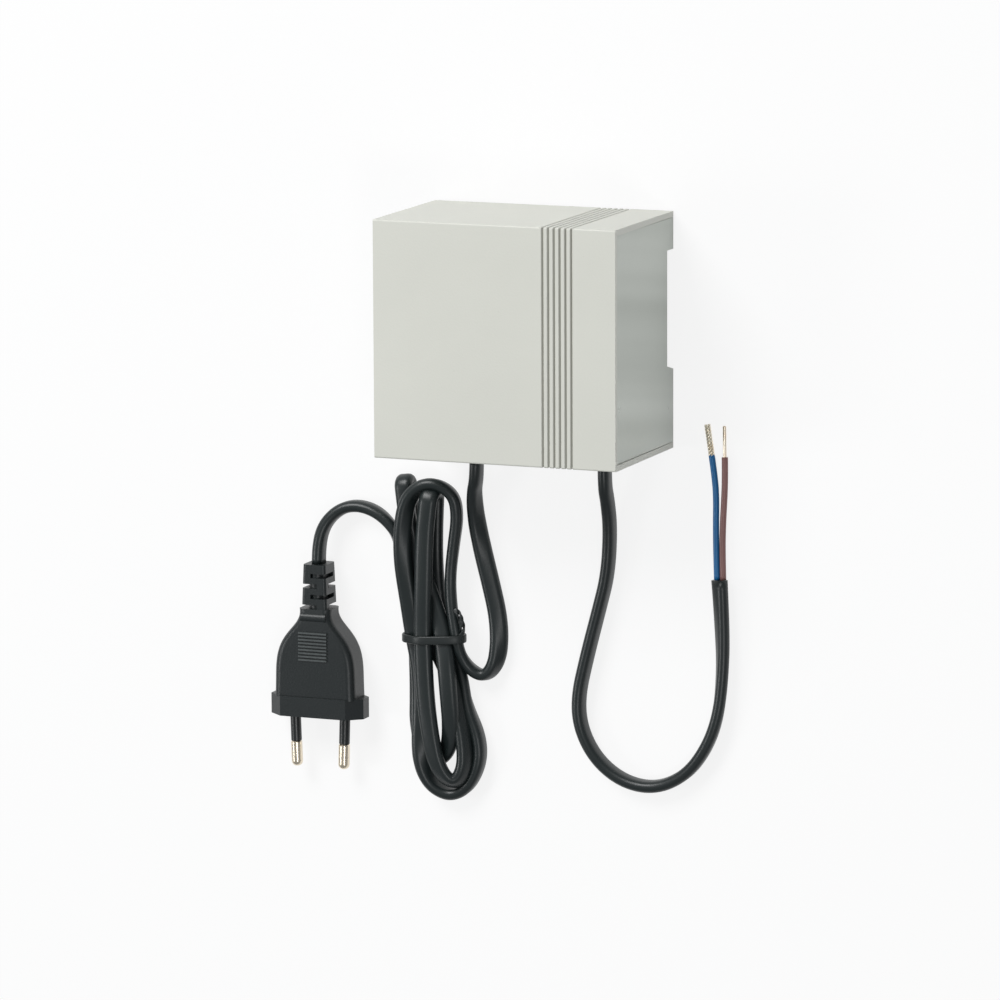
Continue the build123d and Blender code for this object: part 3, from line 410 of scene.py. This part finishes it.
def moulded(name, colour, grain_size, grain_depth, roughness, shift=0.06, marks=None):
    """Moulded plastic with a fine grain, slightly uneven in colour and gloss.

    marks is a function that is given the paint and its colour, and returns the colour with its
    marks added, painted shade, reflections and highlights among them, and a change of roughness.
    """
    paint = Paint(name)
    cloud = paint.noise(0.045, 4.0, 0.6)
    grain = paint.noise(grain_size, 2.0, 0.6)
    worn = paint.noise(0.006, 5.0, 0.7)
    pale = tuple(min(1.0, part * (1 + shift)) for part in colour)
    deep = tuple(part * (1 - shift) for part in colour)
    base = paint.mix((cloud * 0.7 + grain * 0.3).clamped(), deep, pale)
    rough = roughness - 0.06 + cloud * 0.08 + worn * 0.06 - grain * 0.03
    if marks:
        base, change = marks(paint, base)
        rough = rough + change
    return paint.finish(Base_Color=base, Roughness=rough.clamped(), IOR=1.5,
                        Normal=paint.bump(grain, grain_depth))


def groove_shade_and_specks(paint, base):
    """Painted shade at the bottom of the cover's grooves, and a few specks on its face."""
    # Painted shade: the colour darkens with depth inside the grooves.
    inside = (COVER_FRONT - paint.axis("Z")).least(COVER_SIDE - abs(paint.axis("Y")))
    across = abs(paint.axis("X") - GROOVES_MIDDLE) < GROOVES_REACH
    share = (inside / GROOVE_DEPTH).clamped() * across
    speck = ((paint.noise(0.0021, 1.0, 0.4) - 0.80) * 14).clamped()
    groove_shaded = paint.mix(share * 0.72, base, GROOVE_SHADE_COLOUR)
    return paint.mix(speck * 0.35, groove_shaded, SPECK_COLOUR), share * 0.25


def reflection_bands(paint, base):
    """Painted reflections: soft darker bands across the side walls."""
    # Painted reflections: darker bands that run across the side walls.
    place = (paint.axis("Y") - paint.axis("Z") * BAND_SLOPE) / BAND_WIDTH + BAND_START
    band = Value(paint, paint.node("ShaderNodeTexNoise", {"noise_dimensions": "1D"}, {
        "W": place, "Scale": 1.0, "Detail": 1.5, "Roughness": 0.5}).outputs["Fac"])
    share = ((band - 0.30) * 2.6).clamped()
    return paint.mix(share, REFLECTION_BAND_COLOUR, base), (0.5 - share) * 0.10


def grip_highlight(paint, base):
    """Painted highlight: paler, patchy tops on the raised bars of the plug's grip."""
    # Painted highlight: the tops of the grip's bars are paler.
    high = (abs(paint.axis("Z") - PLUG_Z) > GRIP_TOP) * (abs(paint.axis("Y") - GRIP_Y) < GRIP_REACH)
    mottle = (paint.noise(0.0016, 3.0, 0.6) * 0.8 + 0.45).clamped()
    return paint.mix(high * mottle, base, GRIP_HIGHLIGHT_COLOUR), high * -0.08


def lead_sheath(name, colour, roughness):
    """Extruded soft plastic: smooth, with faint scuffs and slow waves in its gloss."""
    paint = Paint(name)
    scuff = paint.noise(0.0011, 4.0, 0.65)
    cloud = paint.noise(0.012, 3.0, 0.55)
    bare = (scuff * 2.4 - 1.5).clamped()
    pale = tuple(part * 1.9 + 0.006 for part in colour)
    base = paint.mix(bare * 0.5, colour, pale)
    rough = (roughness + cloud * 0.10 - 0.05 + bare * 0.12).clamped()
    return paint.finish(Base_Color=base, Roughness=rough, IOR=1.48,
                        Normal=paint.bump(scuff + cloud, 0.00003))


def plated(name, colour, stain, roughness, grain_size=0.0006, depth=0.00002):
    """Plated or bright metal with a light stain and fine scratches."""
    paint = Paint(name)
    cloud = paint.noise(0.004, 4.0, 0.6)
    grain = paint.noise(grain_size, 3.0, 0.6, stretch=(1.0, 0.15, 1.0))
    base = paint.mix((cloud * 1.6 - 0.4).clamped(), colour, stain)
    return paint.finish(Base_Color=base, Metallic=1.0, Normal=paint.bump(grain, depth),
                        Roughness=(roughness - 0.06 + grain * 0.10 + cloud * 0.06).clamped())


def laminated_steel(name):
    """Stack of thin steel sheets, with their edges showing along Z."""
    paint = Paint(name)
    sheet = (paint.axis("Z") / SHEET_THICKNESS).part()
    edge = (abs(sheet - 0.5) * 2) ** 3
    rust = (paint.noise(0.005, 5.0, 0.65) * 2.2 - 1.0).clamped()
    plain = paint.mix(edge, (0.20, 0.21, 0.23), (0.05, 0.05, 0.055))
    base = paint.mix(rust * 0.35, plain, (0.16, 0.07, 0.03))
    return paint.finish(Base_Color=base, Metallic=(1 - rust * 0.4).clamped(), IOR=1.5,
                        Roughness=(0.38 + rust * 0.3 + edge * 0.1).clamped(),
                        Normal=paint.bump(1 - edge, 0.00012))


def wound_wire(name, colour):
    """Enamelled wire laid turn beside turn along Y."""
    paint = Paint(name)
    turn = (paint.axis("Y") * (2 * pi / WIRE_PITCH)).wave()
    cloud = paint.noise(0.003, 3.0, 0.5)
    deep = tuple(part * 0.45 for part in colour)
    base = paint.mix((turn * 0.5 + 0.5) * (0.75 + cloud * 0.25), deep, colour)
    return paint.finish(Base_Color=base, Metallic=0.85, Roughness=(0.25 + cloud * 0.12).clamped(),
                        Coat_Weight=0.6, Coat_Roughness=0.12,
                        Normal=paint.bump(turn * 0.5 + 0.5, 0.00025))


def wrapped_tape(name, colour):
    """Glossy film tape wound in overlapping turns."""
    paint = Paint(name)
    lap = (paint.axis("Y") / TAPE_LAP + paint.noise(0.02) * 0.4).part()
    wrinkle = paint.noise(0.0022, 4.0, 0.6)
    deep = tuple(part * 0.8 for part in colour)
    base = paint.mix((lap * 0.6 + wrinkle * 0.4).clamped(), deep, colour)
    return paint.finish(Base_Color=base, Roughness=(0.22 + wrinkle * 0.15).clamped(), IOR=1.55,
                        Coat_Weight=0.4, Coat_Roughness=0.1,
                        Normal=paint.bump(lap * 0.5 + wrinkle * 0.5, 0.00012))


def board_laminate(name):
    """Brown phenolic board with a paper grain and broad, darker tracks."""
    paint = Paint(name)
    fibre = paint.noise(0.0009, 4.0, 0.6, stretch=(0.25, 1.0, 1.0))
    track = abs((paint.axis("Y") / TRACK_PITCH).part() - 0.5) * 2 > 0.42
    cloud = paint.noise(0.01)
    plain = paint.mix(fibre, (0.30, 0.17, 0.065), (0.45, 0.29, 0.13))
    base = paint.mix(track * 0.5, plain, (0.22, 0.115, 0.045))
    return paint.finish(Base_Color=base, IOR=1.5,
                        Roughness=(0.34 + cloud * 0.1 + fibre * 0.06).clamped(),
                        Normal=paint.bump(track * 0.8 + fibre * 0.2, 0.00005))


def capped_glass(name, middle, half_glass):
    """Glass tube with bright metal caps past half_glass from its middle along X."""
    paint = Paint(name)
    cap = abs(paint.axis("X") - middle) > half_glass
    haze = paint.noise(0.002, 4.0, 0.6)
    glass = paint.surface(Base_Color=(0.90, 0.94, 0.93), Roughness=(haze * 0.08).clamped(), IOR=1.5,
                          Transmission_Weight=0.85)
    metal = paint.surface(Base_Color=paint.mix(haze, (0.62, 0.61, 0.58), (0.78, 0.77, 0.72)),
                          Metallic=1.0, Roughness=(0.2 + haze * 0.15).clamped())
    return paint.close(paint.either(cap, glass, metal))


def bright_pin(name, colour):
    """Nickelled pin, turned, with faint rings round it and rub marks along it."""
    paint = Paint(name)
    ring = (paint.axis("Y") * (2 * pi / PIN_RING_PITCH)).wave() * 0.5 + 0.5
    mottle = paint.noise(0.0012, 4.0, 0.6, stretch=(1.0, 0.12, 1.0))
    base = paint.mix((mottle * 1.4 - 0.3).clamped(), colour, tuple(part * 0.72 for part in colour))
    return paint.finish(Base_Color=base, Metallic=1.0, Roughness=(0.20 + mottle * 0.16).clamped(),
                        Normal=paint.bump(ring * 0.3 + mottle * 0.7, 0.00001))


def spline_line(name, points, resolution):
    """Points of a route's smooth line, as a curve with no bevel gives them."""
    curve = bpy.data.curves.new(name, "CURVE")
    curve.dimensions = "3D"
    curve.resolution_u = resolution
    spline = curve.splines.new("NURBS")
    spline.points.add(len(points) - 1)
    for knot, point in zip(spline.points, points):
        knot.co = (point[0], point[1], point[2], 1.0)
    spline.order_u = 3
    spline.use_endpoint_u = True
    holder = bpy.data.objects.new(name, curve)
    mesh = bpy.data.meshes.new_from_object(holder)
    line = [vertex.co.copy() for vertex in mesh.vertices]
    bpy.data.meshes.remove(mesh)
    bpy.data.objects.remove(holder)
    bpy.data.curves.remove(curve)
    return line


def wide_axes(points):
    """Direction of a flat lead's wide side at each control point, by the point's angle."""
    axes = []
    for index, point in enumerate(points):
        before = Vector(points[max(index - 1, 0)][:3])
        after = Vector(points[min(index + 1, len(points) - 1)][:3])
        along = after - before
        level = Vector((along.y, -along.x, 0.0)).normalized()
        upward = level.cross(along).normalized()
        turn = radians(point[3])
        axis = level * cos(turn) + upward * sin(turn)
        if axes and axis.dot(axes[-1]) < 0:
            axis = -axis
        axes.append(axis)
    return axes


def tangents(line):
    """Direction of a line at each of its points."""
    last = len(line) - 1
    return [(line[min(i + 1, last)] - line[max(i - 1, 0)]).normalized() for i in range(len(line))]


def new_piece(name, mesh_builder, material):
    """Object from a bmesh, with smooth shading, its finish and its body."""
    mesh = bpy.data.meshes.new(name)
    bmesh.ops.recalc_face_normals(mesh_builder, faces=mesh_builder.faces)
    mesh_builder.to_mesh(mesh)
    mesh_builder.free()
    for face in mesh.polygons:
        face.use_smooth = True
    mesh.materials.append(material)
    piece = bpy.data.objects.new(name, mesh)
    bpy.context.scene.collection.objects.link(piece)
    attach(piece, "root")
    return piece


def skin_rings(builder, rings, closed=False):
    """Join rings of points into a tube, capped at both ends unless it closes on itself."""
    made = [[builder.verts.new(point) for point in ring] for ring in rings]
    pairs = list(zip(made, made[1:]))
    if closed:
        pairs.append((made[-1], made[0]))
    for ring, following in pairs:
        for i in range(len(ring)):
            after = (i + 1) % len(ring)
            builder.faces.new((ring[i], ring[after], following[after], following[i]))
    if not closed:
        builder.faces.new(list(reversed(made[0])))
        builder.faces.new(made[-1])


def flat_ring(middle, along, wide_side, width, thickness, steps):
    """Ring of points round a flat section that is round on both short sides."""
    wide = (wide_side - along * wide_side.dot(along)).normalized()
    thin = along.cross(wide)
    radius = thickness / 2
    reach = (width - thickness) / 2
    ring = []
    for side in (1, -1):
        for step in range(steps + 1):
            angle = -pi / 2 + pi * step / steps
            out = wide * (side * (reach + radius * cos(angle)))
            ring.append(middle + out + thin * (side * radius * sin(angle)))
    return ring


def round_ring(middle, along, side, radius, steps):
    """Ring of points round a circular section."""
    first = (side - along * side.dot(along)).normalized()
    second = along.cross(first)
    angles = [2 * pi * i / steps for i in range(steps)]
    return [middle + first * (radius * cos(angle)) + second * (radius * sin(angle))
            for angle in angles]


def turned(along, angle):
    """Direction square to a line, turned round it by an angle from straight up."""
    up = Vector((0.0, 0.0, 1.0))
    side = (up - along * up.dot(along)).normalized()
    return side * cos(angle) + along.cross(side) * sin(angle)


def line_length(line):
    """Length of a line through its points."""
    return sum((after - before).length for before, after in zip(line, line[1:]))


def flat_lead(name, points, settings, resolution):
    """Flat lead along a route, its wide side turned as the control points say."""
    line = spline_line(name + "_middle", points, resolution)
    sides = spline_line(name + "_sides", [tuple(axis) for axis in wide_axes(points)], resolution)
    builder = bmesh.new()
    skin_rings(builder, [
        flat_ring(middle, along, side, settings.width, settings.thickness, 8)
        for middle, along, side in zip(line, tangents(line), sides)])
    return new_piece(name, builder, sheath_finish()), line


def round_core(name, points, diameter, material):
    """Round insulated core along a route, the rim of its cut end slightly rounded."""
    line = spline_line(name + "_middle", points, 12)
    directions = tangents(line)
    side = Vector((1.0, 0.0, 0.0))
    rings = [round_ring(middle, along, side, diameter / 2, 20)
             for middle, along in zip(line, directions)]
    onward = directions[-1] * (diameter * 0.08)
    rings.append([point * 0.86 + line[-1] * 0.14 + onward for point in rings[-1]])
    builder = bmesh.new()
    skin_rings(builder, rings)
    return new_piece(name, builder, material), line


class CaseSettings(bpy.types.PropertyGroup):
    """Finish of the moulded case."""

    cover_colour: bpy.props.FloatVectorProperty(
        name="Cover colour", description="Colour of the grooved cover", subtype="COLOR", size=3,
        min=0.0, max=1.0, default=(0.635, 0.638, 0.580))
    base_colour: bpy.props.FloatVectorProperty(
        name="Base colour", description="Colour of the base and side walls", subtype="COLOR",
        size=3, min=0.0, max=1.0, default=(0.600, 0.632, 0.572))
    grain_size: bpy.props.FloatProperty(
        name="Grain size", description="Size of the fine grain on the case", subtype="DISTANCE",
        unit="LENGTH", default=0.0007)


class LeadSettings(bpy.types.PropertyGroup):
    """Sizes and colours of the leads."""

    width: bpy.props.FloatProperty(
        name="Lead width", description="Wide side of both flat leads", subtype="DISTANCE",
        unit="LENGTH", default=0.0066)
    thickness: bpy.props.FloatProperty(
        name="Lead thickness", description="Thin side of both flat leads", subtype="DISTANCE",
        unit="LENGTH", default=0.0041)
    core_diameter: bpy.props.FloatProperty(
        name="Core diameter", description="Diameter of each insulated core", subtype="DISTANCE",
        unit="LENGTH", default=0.0022)
    strand_diameter: bpy.props.FloatProperty(
        name="Strand bundle", description="Diameter of the twisted bare strands",
        subtype="DISTANCE", unit="LENGTH", default=0.0021)
    strand_length: bpy.props.FloatProperty(
        name="Bared length", description="Length of the bare strands", subtype="DISTANCE",
        unit="LENGTH", default=0.011)
    tie_width: bpy.props.FloatProperty(
        name="Tie width", description="Width of the wire tie", subtype="DISTANCE",
        unit="LENGTH", default=0.003)
    tie_thickness: bpy.props.FloatProperty(
        name="Tie thickness", description="Thickness of the wire tie", subtype="DISTANCE",
        unit="LENGTH", default=0.0009)
    sheath_colour: bpy.props.FloatVectorProperty(
        name="Sheath colour", description="Colour of both sheaths", subtype="COLOR", size=3,
        min=0.0, max=1.0, default=(0.0115, 0.0165, 0.0168))
    blue_colour: bpy.props.FloatVectorProperty(
        name="Blue core", description="Colour of the blue core", subtype="COLOR", size=3,
        min=0.0, max=1.0, default=(0.008, 0.138, 0.36))
    brown_colour: bpy.props.FloatVectorProperty(
        name="Brown core", description="Colour of the brown core", subtype="COLOR", size=3,
        min=0.0, max=1.0, default=(0.25, 0.125, 0.115))


class StudioSettings(bpy.types.PropertyGroup):
    """Camera, floor and light."""

    lens: bpy.props.FloatProperty(
        name="Lens", description="Focal length of the camera", subtype="DISTANCE_CAMERA",
        unit="CAMERA", default=239.37)
    key_power: bpy.props.FloatProperty(
        name="Key light", description="Power of the large light beyond the upper edge",
        subtype="POWER", unit="POWER", default=26.0)
    gloss_power: bpy.props.FloatProperty(
        name="Gloss light", description="Power of the light at the left, for highlights",
        subtype="POWER", unit="POWER", default=6.5)
    front_power: bpy.props.FloatProperty(
        name="Front light", description="Power of the small light in front, at the right",
        subtype="POWER", unit="POWER", default=4.5)
    room_light: bpy.props.FloatProperty(
        name="Room light", description="Strength of the even light of the room", default=0.33)


def dress(material, *names):
    """Give carried-over CAD nodes their finish."""
    for name in names:
        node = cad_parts[name]
        if not node.material_slots:
            node.data.materials.append(material)
        for place in node.material_slots:
            place.material = material


def shared(name, maker, *values):
    """The finish of that name, made on first use."""
    return bpy.data.materials.get(name) or maker(name, *values)


def sheath_finish():
    """Finish of the sheaths of both leads."""
    settings = bpy.context.scene.transformer_leads
    return shared("black_sheath", lead_sheath, tuple(settings.sheath_colour), 0.36)


def core_finish(colour):
    """Finish of the blue or the brown insulation."""
    settings = bpy.context.scene.transformer_leads
    return shared(colour + "_plastic", lead_sheath,
                  tuple(getattr(settings, colour + "_colour")), 0.38)


class TRANSFORMER_OT_case(bpy.types.Operator):
    """Finish the cover, the base and the screws between them"""

    bl_idname = "transformer.case"
    bl_label = "Case"

    def execute(self, context):
        settings = context.scene.transformer_case
        # The cover has painted shade in its grooves.
        dress(moulded("grey_cover", tuple(settings.cover_colour), settings.grain_size,
                      0.00004, 0.50, marks=groove_shade_and_specks), "cover")
        # The base has painted reflection bands on its side walls.
        dress(moulded("grey_base", tuple(settings.base_colour), settings.grain_size * 1.4,
                      0.00002, 0.33, marks=reflection_bands), "base")
        dress(plated("zinc_screw", (0.70, 0.70, 0.68), (0.58, 0.56, 0.46), 0.30), "case_screws")
        return {"FINISHED"}


class TRANSFORMER_OT_works(bpy.types.Operator):
    """Finish the core, windings, wiring board, terminals, fuse and clamps inside the case"""

    bl_idname = "transformer.works"
    bl_label = "Works"

    def execute(self, context):
        dress(laminated_steel("core_sheets"), "core_e_stack", "core_i_stack")
        dress(plated("clamp_plate", (0.60, 0.60, 0.57), (0.50, 0.47, 0.34), 0.34),
              "lower_clamp_bar", "upper_clamp_bar")
        dress(plated("small_screw", (0.68, 0.68, 0.66), (0.55, 0.53, 0.45), 0.28),
              "core_screws", "board_screws", "clamp_screws", "terminal_screws")
        dress(moulded("bobbin_black", (0.05, 0.05, 0.055), 0.0006, 0.00003, 0.42), "bobbin")
        dress(wound_wire("enamelled_wire", (0.62, 0.28, 0.12)),
              "primary_winding", "secondary_winding")
        dress(wrapped_tape("yellow_tape", (0.78, 0.62, 0.14)), "primary_tape", "secondary_tape")
        dress(board_laminate("board_brown"), "wiring_board")
        dress(moulded("terminal_grey", (0.30, 0.33, 0.34), 0.0005, 0.00003, 0.38),
              "mains_terminal", "output_terminal")
        low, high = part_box("fuse")
        half_glass = (high.x - low.x) / 2 - FUSE_CAP
        dress(capped_glass("fuse_tube", (low.x + high.x) / 2, half_glass), "fuse")
        dress(plated("tinned_clip", (0.78, 0.70, 0.45), (0.70, 0.66, 0.52), 0.26), "fuse_clips")
        dress(moulded("bushing_black", (0.030, 0.033, 0.033), 0.0005, 0.00003, 0.45),
              "mains_bushing", "output_bushing", "mains_lead_clamp", "output_lead_clamp")
        dress(core_finish("blue"), "mains_core_blue", "output_core_blue")
        dress(core_finish("brown"), "mains_core_brown", "output_core_brown")
        dress(lead_sheath("white_plastic", (0.60, 0.60, 0.57), 0.40),
              "primary_wires", "secondary_wires")
        dress(sheath_finish(), "mains_lead_inlet", "output_lead_inlet")
        return {"FINISHED"}


class TRANSFORMER_OT_plug(bpy.types.Operator):
    """Finish the plug's body, pin carrier and pins"""

    bl_idname = "transformer.plug"
    bl_label = "Plug"

    def execute(self, context):
        # The plug's body has a painted highlight on its grip's bars.
        dress(moulded("plug_black", (0.009, 0.0128, 0.0135), 0.0006, 0.00004, 0.40, 0.12,
                      marks=grip_highlight), "plug_body")
        dress(moulded("carrier_black", (0.012, 0.014, 0.014), 0.0008, 0.00001, 0.30, 0.10),
              "pin_carrier")
        dress(bright_pin("nickel_pin", (0.90, 0.80, 0.64)), "plug_pin_left", "plug_pin_right")
        return {"FINISHED"}


class TRANSFORMER_OT_mains_lead(bpy.types.Operator):
    """Build the flat mains lead with its tied hank, and the wire tie round it"""

    bl_idname = "transformer.mains_lead"
    bl_label = "Mains lead"

    def execute(self, context):
        settings = context.scene.transformer_leads
        lead, line = flat_lead("mains_lead_run", MAINS_POINTS, settings, 8)
        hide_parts("mains_lead", "mains_hank", "plug_lead")
        tie = self.tie(lead, settings)
        round(line_length(line), 3)
        return {"FINISHED"}

    def tie(self, lead, settings):
        """Flat tie drawn tight round the bundle, its two ends twisted together."""
        near = [v.co for v in lead.data.vertices
                if abs(v.co.y - TIE_Y) < settings.tie_width and BUNDLE_LEFT < v.co.x < BUNDLE_RIGHT]
        if len(near) < 12:
            raise RuntimeError("The wire tie finds no bundle to go round")
        hull = self.hull(sorted({(round(p.x, 5), round(p.z, 5)) for p in near}))
        ring = self.evened(hull, 60)
        count = len(ring)
        for _ in range(3):
            ring = [(ring[i - 1] + ring[i] * 2 + ring[(i + 1) % count]) / 4 for i in range(count)]
        middle = sum(ring, Vector((0.0, 0.0))) / count
        half = settings.tie_thickness / 2
        rings = []
        for i, place in enumerate(ring):
            run = (ring[(i + 1) % count] - ring[i - 1]).normalized()
            out = Vector((run.y, -run.x))
            if out.dot(place - middle) < 0:
                out = -out
            seat = place + out * half
            lean = (seat.x - middle.x) * TIE_LEAN
            here = Vector((seat.x, TIE_Y + lean, max(seat.y, half)))
            rings.append(flat_ring(here, Vector((run.x, 0.0, run.y)), Vector((0.0, 1.0, 0.0)),
                                   settings.tie_width, settings.tie_thickness, 5))
        builder = bmesh.new()
        skin_rings(builder, rings, closed=True)
        self.twist(builder, settings)
        tie = new_piece("wire_tie", builder,
                        lead_sheath("tie_black", (0.014, 0.018, 0.018), 0.42))
        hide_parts("hank_tie")
        return tie

    def hull(self, places):
        """Convex outline of places in a plane, counter-clockwise."""
        sides = []
        for run in (places, places[::-1]):
            chain = []
            for place in run:
                point = Vector(place)
                while len(chain) > 1 and (chain[-1] - chain[-2]).cross(point - chain[-2]) <= 0:
                    chain.pop()
                chain.append(point)
            sides += chain[:-1]
        return sides

    def evened(self, outline, count):
        """Outline again, with count places at even steps."""
        closed = outline + outline[:1]
        steps = [(after - before).length for before, after in zip(closed, closed[1:])]
        total = sum(steps)
        placed = []
        for index in range(count):
            left = total * index / count
            for step, before, after in zip(steps, closed, closed[1:]):
                if left <= step:
                    placed.append(before.lerp(after, left / step))
                    break
                left -= step
        return placed

    def twist(self, builder, settings):
        """Two flat ends wound round each other along a short hooked line."""
        line = spline_line("tie_twist", TWIST_POINTS, 10)
        last = len(line) - 1
        for half_turn in (0.0, pi):
            rings = []
            for index, (middle, along) in enumerate(zip(line, tangents(line))):
                out = turned(along, half_turn + TWIST_ANGLE * index / last)
                rings.append(flat_ring(middle + out * 0.00055, along, along.cross(out),
                                       settings.tie_width * 0.55, settings.tie_thickness * 0.9, 4))
            skin_rings(builder, rings)


class TRANSFORMER_OT_output_lead(bpy.types.Operator):
    """Build the flat output lead and its two cores with their bare ends"""

    bl_idname = "transformer.output_lead"
    bl_label = "Output lead"

    def execute(self, context):
        settings = context.scene.transformer_leads
        lead, line = flat_lead("output_lead_run", OUTPUT_POINTS, settings, 12)
        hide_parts("output_lead")
        round(line_length(line), 3)
        blue, blue_line = round_core("blue_core_run", BLUE_POINTS, settings.core_diameter,
                                     core_finish("blue"))
        brown, brown_line = round_core("brown_core_run", BROWN_POINTS, settings.core_diameter,
                                       core_finish("brown"))
        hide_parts("blue_core")
        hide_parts("brown_core")
        strands = self.strands(blue_line, settings)
        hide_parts("blue_end")
        dress(plated("bare_copper", (0.84, 0.77, 0.65), (0.78, 0.60, 0.44), 0.32, 0.0004),
              "brown_end")
        for core, path, end in ((blue, blue_line, strands), (brown, brown_line, "brown_end")):
            round(line_length(path), 4)
        return {"FINISHED"}

    def strands(self, line, settings):
        """Bare strands from the end of a core's line, twisted round a straight one."""
        start = line[-1]
        along = tangents(line)[-1]
        thick = settings.strand_diameter / 3
        steps = 48
        builder = bmesh.new()
        for strand in range(OUTER_STRANDS + 1):
            reach = 0.0 if strand == OUTER_STRANDS else thick * 1.04
            slope = 2 * pi * STRAND_TURNS * reach / settings.strand_length
            rings = []
            for step in range(steps + 1):
                share = step / steps
                out = turned(along, 2 * pi * (strand / OUTER_STRANDS + STRAND_TURNS * share))
                onward = along * (settings.strand_length * share - STRAND_INSIDE)
                lean = (along + along.cross(out) * slope).normalized()
                rings.append(round_ring(start + onward + out * reach, lean, out, thick * 0.55, 10))
            skin_rings(builder, rings)
        finish = plated("tinned_strands", (0.93, 0.88, 0.76), (0.80, 0.66, 0.46), 0.30, 0.0005,
                        0.00004)
        return new_piece("blue_core_strands", builder, finish)


class TRANSFORMER_OT_studio(bpy.types.Operator):
    """Set the camera, the pale floor and the soft light"""

    bl_idname = "transformer.studio"
    bl_label = "Studio"

    def execute(self, context):
        settings = context.scene.transformer_studio
        camera = bpy.data.cameras.new("studio_camera")
        camera.sensor_width = 36.0
        camera.lens = settings.lens
        camera.clip_start = 0.1
        camera.clip_end = 50.0
        holder = bpy.data.objects.new("studio_camera", camera)
        holder.location = CAMERA_PLACE
        holder.rotation_euler = CAMERA_TURN
        context.scene.collection.objects.link(holder)
        context.scene.camera = holder
        self.floor(context)
        for name, (place, size) in LIGHTS.items():
            power = getattr(settings, name + "_power")
            self.light(context, name + "_light", place, size, power)
        self.room(context, settings.room_light)
        context.scene.view_settings.view_transform = "Standard"
        return {"FINISHED"}

    def floor(self, context):
        """Wide pale floor under the object, white to the camera and still shaded by the object."""
        builder = bmesh.new()
        bmesh.ops.create_grid(builder, x_segments=2, y_segments=2, size=6.0)
        mesh = bpy.data.meshes.new("pale_floor")
        builder.to_mesh(mesh)
        builder.free()
        floor = bpy.data.objects.new("pale_floor", mesh)
        floor.location = (0.0, 0.0, FLOOR_HEIGHT)
        context.scene.collection.objects.link(floor)
        paint = Paint("floor_white")
        pale = paint.mix(paint.noise(0.4) * 0.2, (0.86, 0.86, 0.86), (0.82, 0.82, 0.82))
        matt = paint.surface(Base_Color=pale, Roughness=0.9)
        glow = paint.node("ShaderNodeEmission", {}, {"Color": (1.0, 1.0, 1.0), "Strength": 1.0})
        shown = paint.either(paint.seen() * FLOOR_WHITE, matt, glow.outputs[0])
        mesh.materials.append(paint.close(shown))

    def light(self, context, name, place, size, power):
        """Square soft light that faces the middle of the object."""
        lamp = bpy.data.lights.new(name, "AREA")
        lamp.shape = "SQUARE"
        lamp.size = size
        lamp.energy = power
        holder = bpy.data.objects.new(name, lamp)
        holder.location = place
        aim = Vector(LIT_PLACE) - Vector(place)
        holder.rotation_euler = aim.to_track_quat("-Z", "Y").to_euler()
        context.scene.collection.objects.link(holder)

    def room(self, context, strength):
        """Even room light, white to the camera."""
        paint = Paint("studio_room", world=True)
        camera = Value(paint, paint.node("ShaderNodeLightPath").outputs["Is Camera Ray"])
        soft = paint.node("ShaderNodeBackground", {}, {
            "Color": (0.94, 0.97, 1.0), "Strength": strength})
        white = paint.node("ShaderNodeBackground", {}, {"Color": (1.0, 1.0, 1.0), "Strength": 1.0})
        context.scene.world = paint.close(paint.either(camera, soft.outputs[0], white.outputs[0]))


class TRANSFORMER_PT_parts(bpy.types.Panel):
    """Transformer looks in the 3D view's sidebar"""

    bl_label = "Transformer"
    bl_idname = "TRANSFORMER_PT_parts"
    bl_space_type = "VIEW_3D"
    bl_region_type = "UI"
    bl_category = "Transformer"

    def draw(self, context):
        for settings in (context.scene.transformer_case, context.scene.transformer_leads,
                         context.scene.transformer_studio):
            box = self.layout.box()
            for name in type(settings).__annotations__:
                box.prop(settings, name)
        for operator in OPERATORS:
            self.layout.operator(operator.bl_idname)


OPERATORS = (
    TRANSFORMER_OT_case,
    TRANSFORMER_OT_works,
    TRANSFORMER_OT_plug,
    TRANSFORMER_OT_mains_lead,
    TRANSFORMER_OT_output_lead,
    TRANSFORMER_OT_studio,
)
SETTINGS = {
    "transformer_case": CaseSettings,
    "transformer_leads": LeadSettings,
    "transformer_studio": StudioSettings,
}


def register():
    for name, group in SETTINGS.items():
        bpy.utils.register_class(group)
        setattr(bpy.types.Scene, name, bpy.props.PointerProperty(type=group))
    for operator in OPERATORS:
        bpy.utils.register_class(operator)
    bpy.utils.register_class(TRANSFORMER_PT_parts)


def unregister():
    bpy.utils.unregister_class(TRANSFORMER_PT_parts)
    for operator in reversed(OPERATORS):
        bpy.utils.unregister_class(operator)
    for name, group in SETTINGS.items():
        delattr(bpy.types.Scene, name)
        bpy.utils.unregister_class(group)


def main():
    register()
    bpy.ops.transformer.studio()
    bpy.ops.transformer.mains_lead()
    bpy.ops.transformer.output_lead()
    bpy.ops.transformer.plug()
    bpy.ops.transformer.case()
    bpy.ops.transformer.works()


if __name__ == "__main__":
    main()
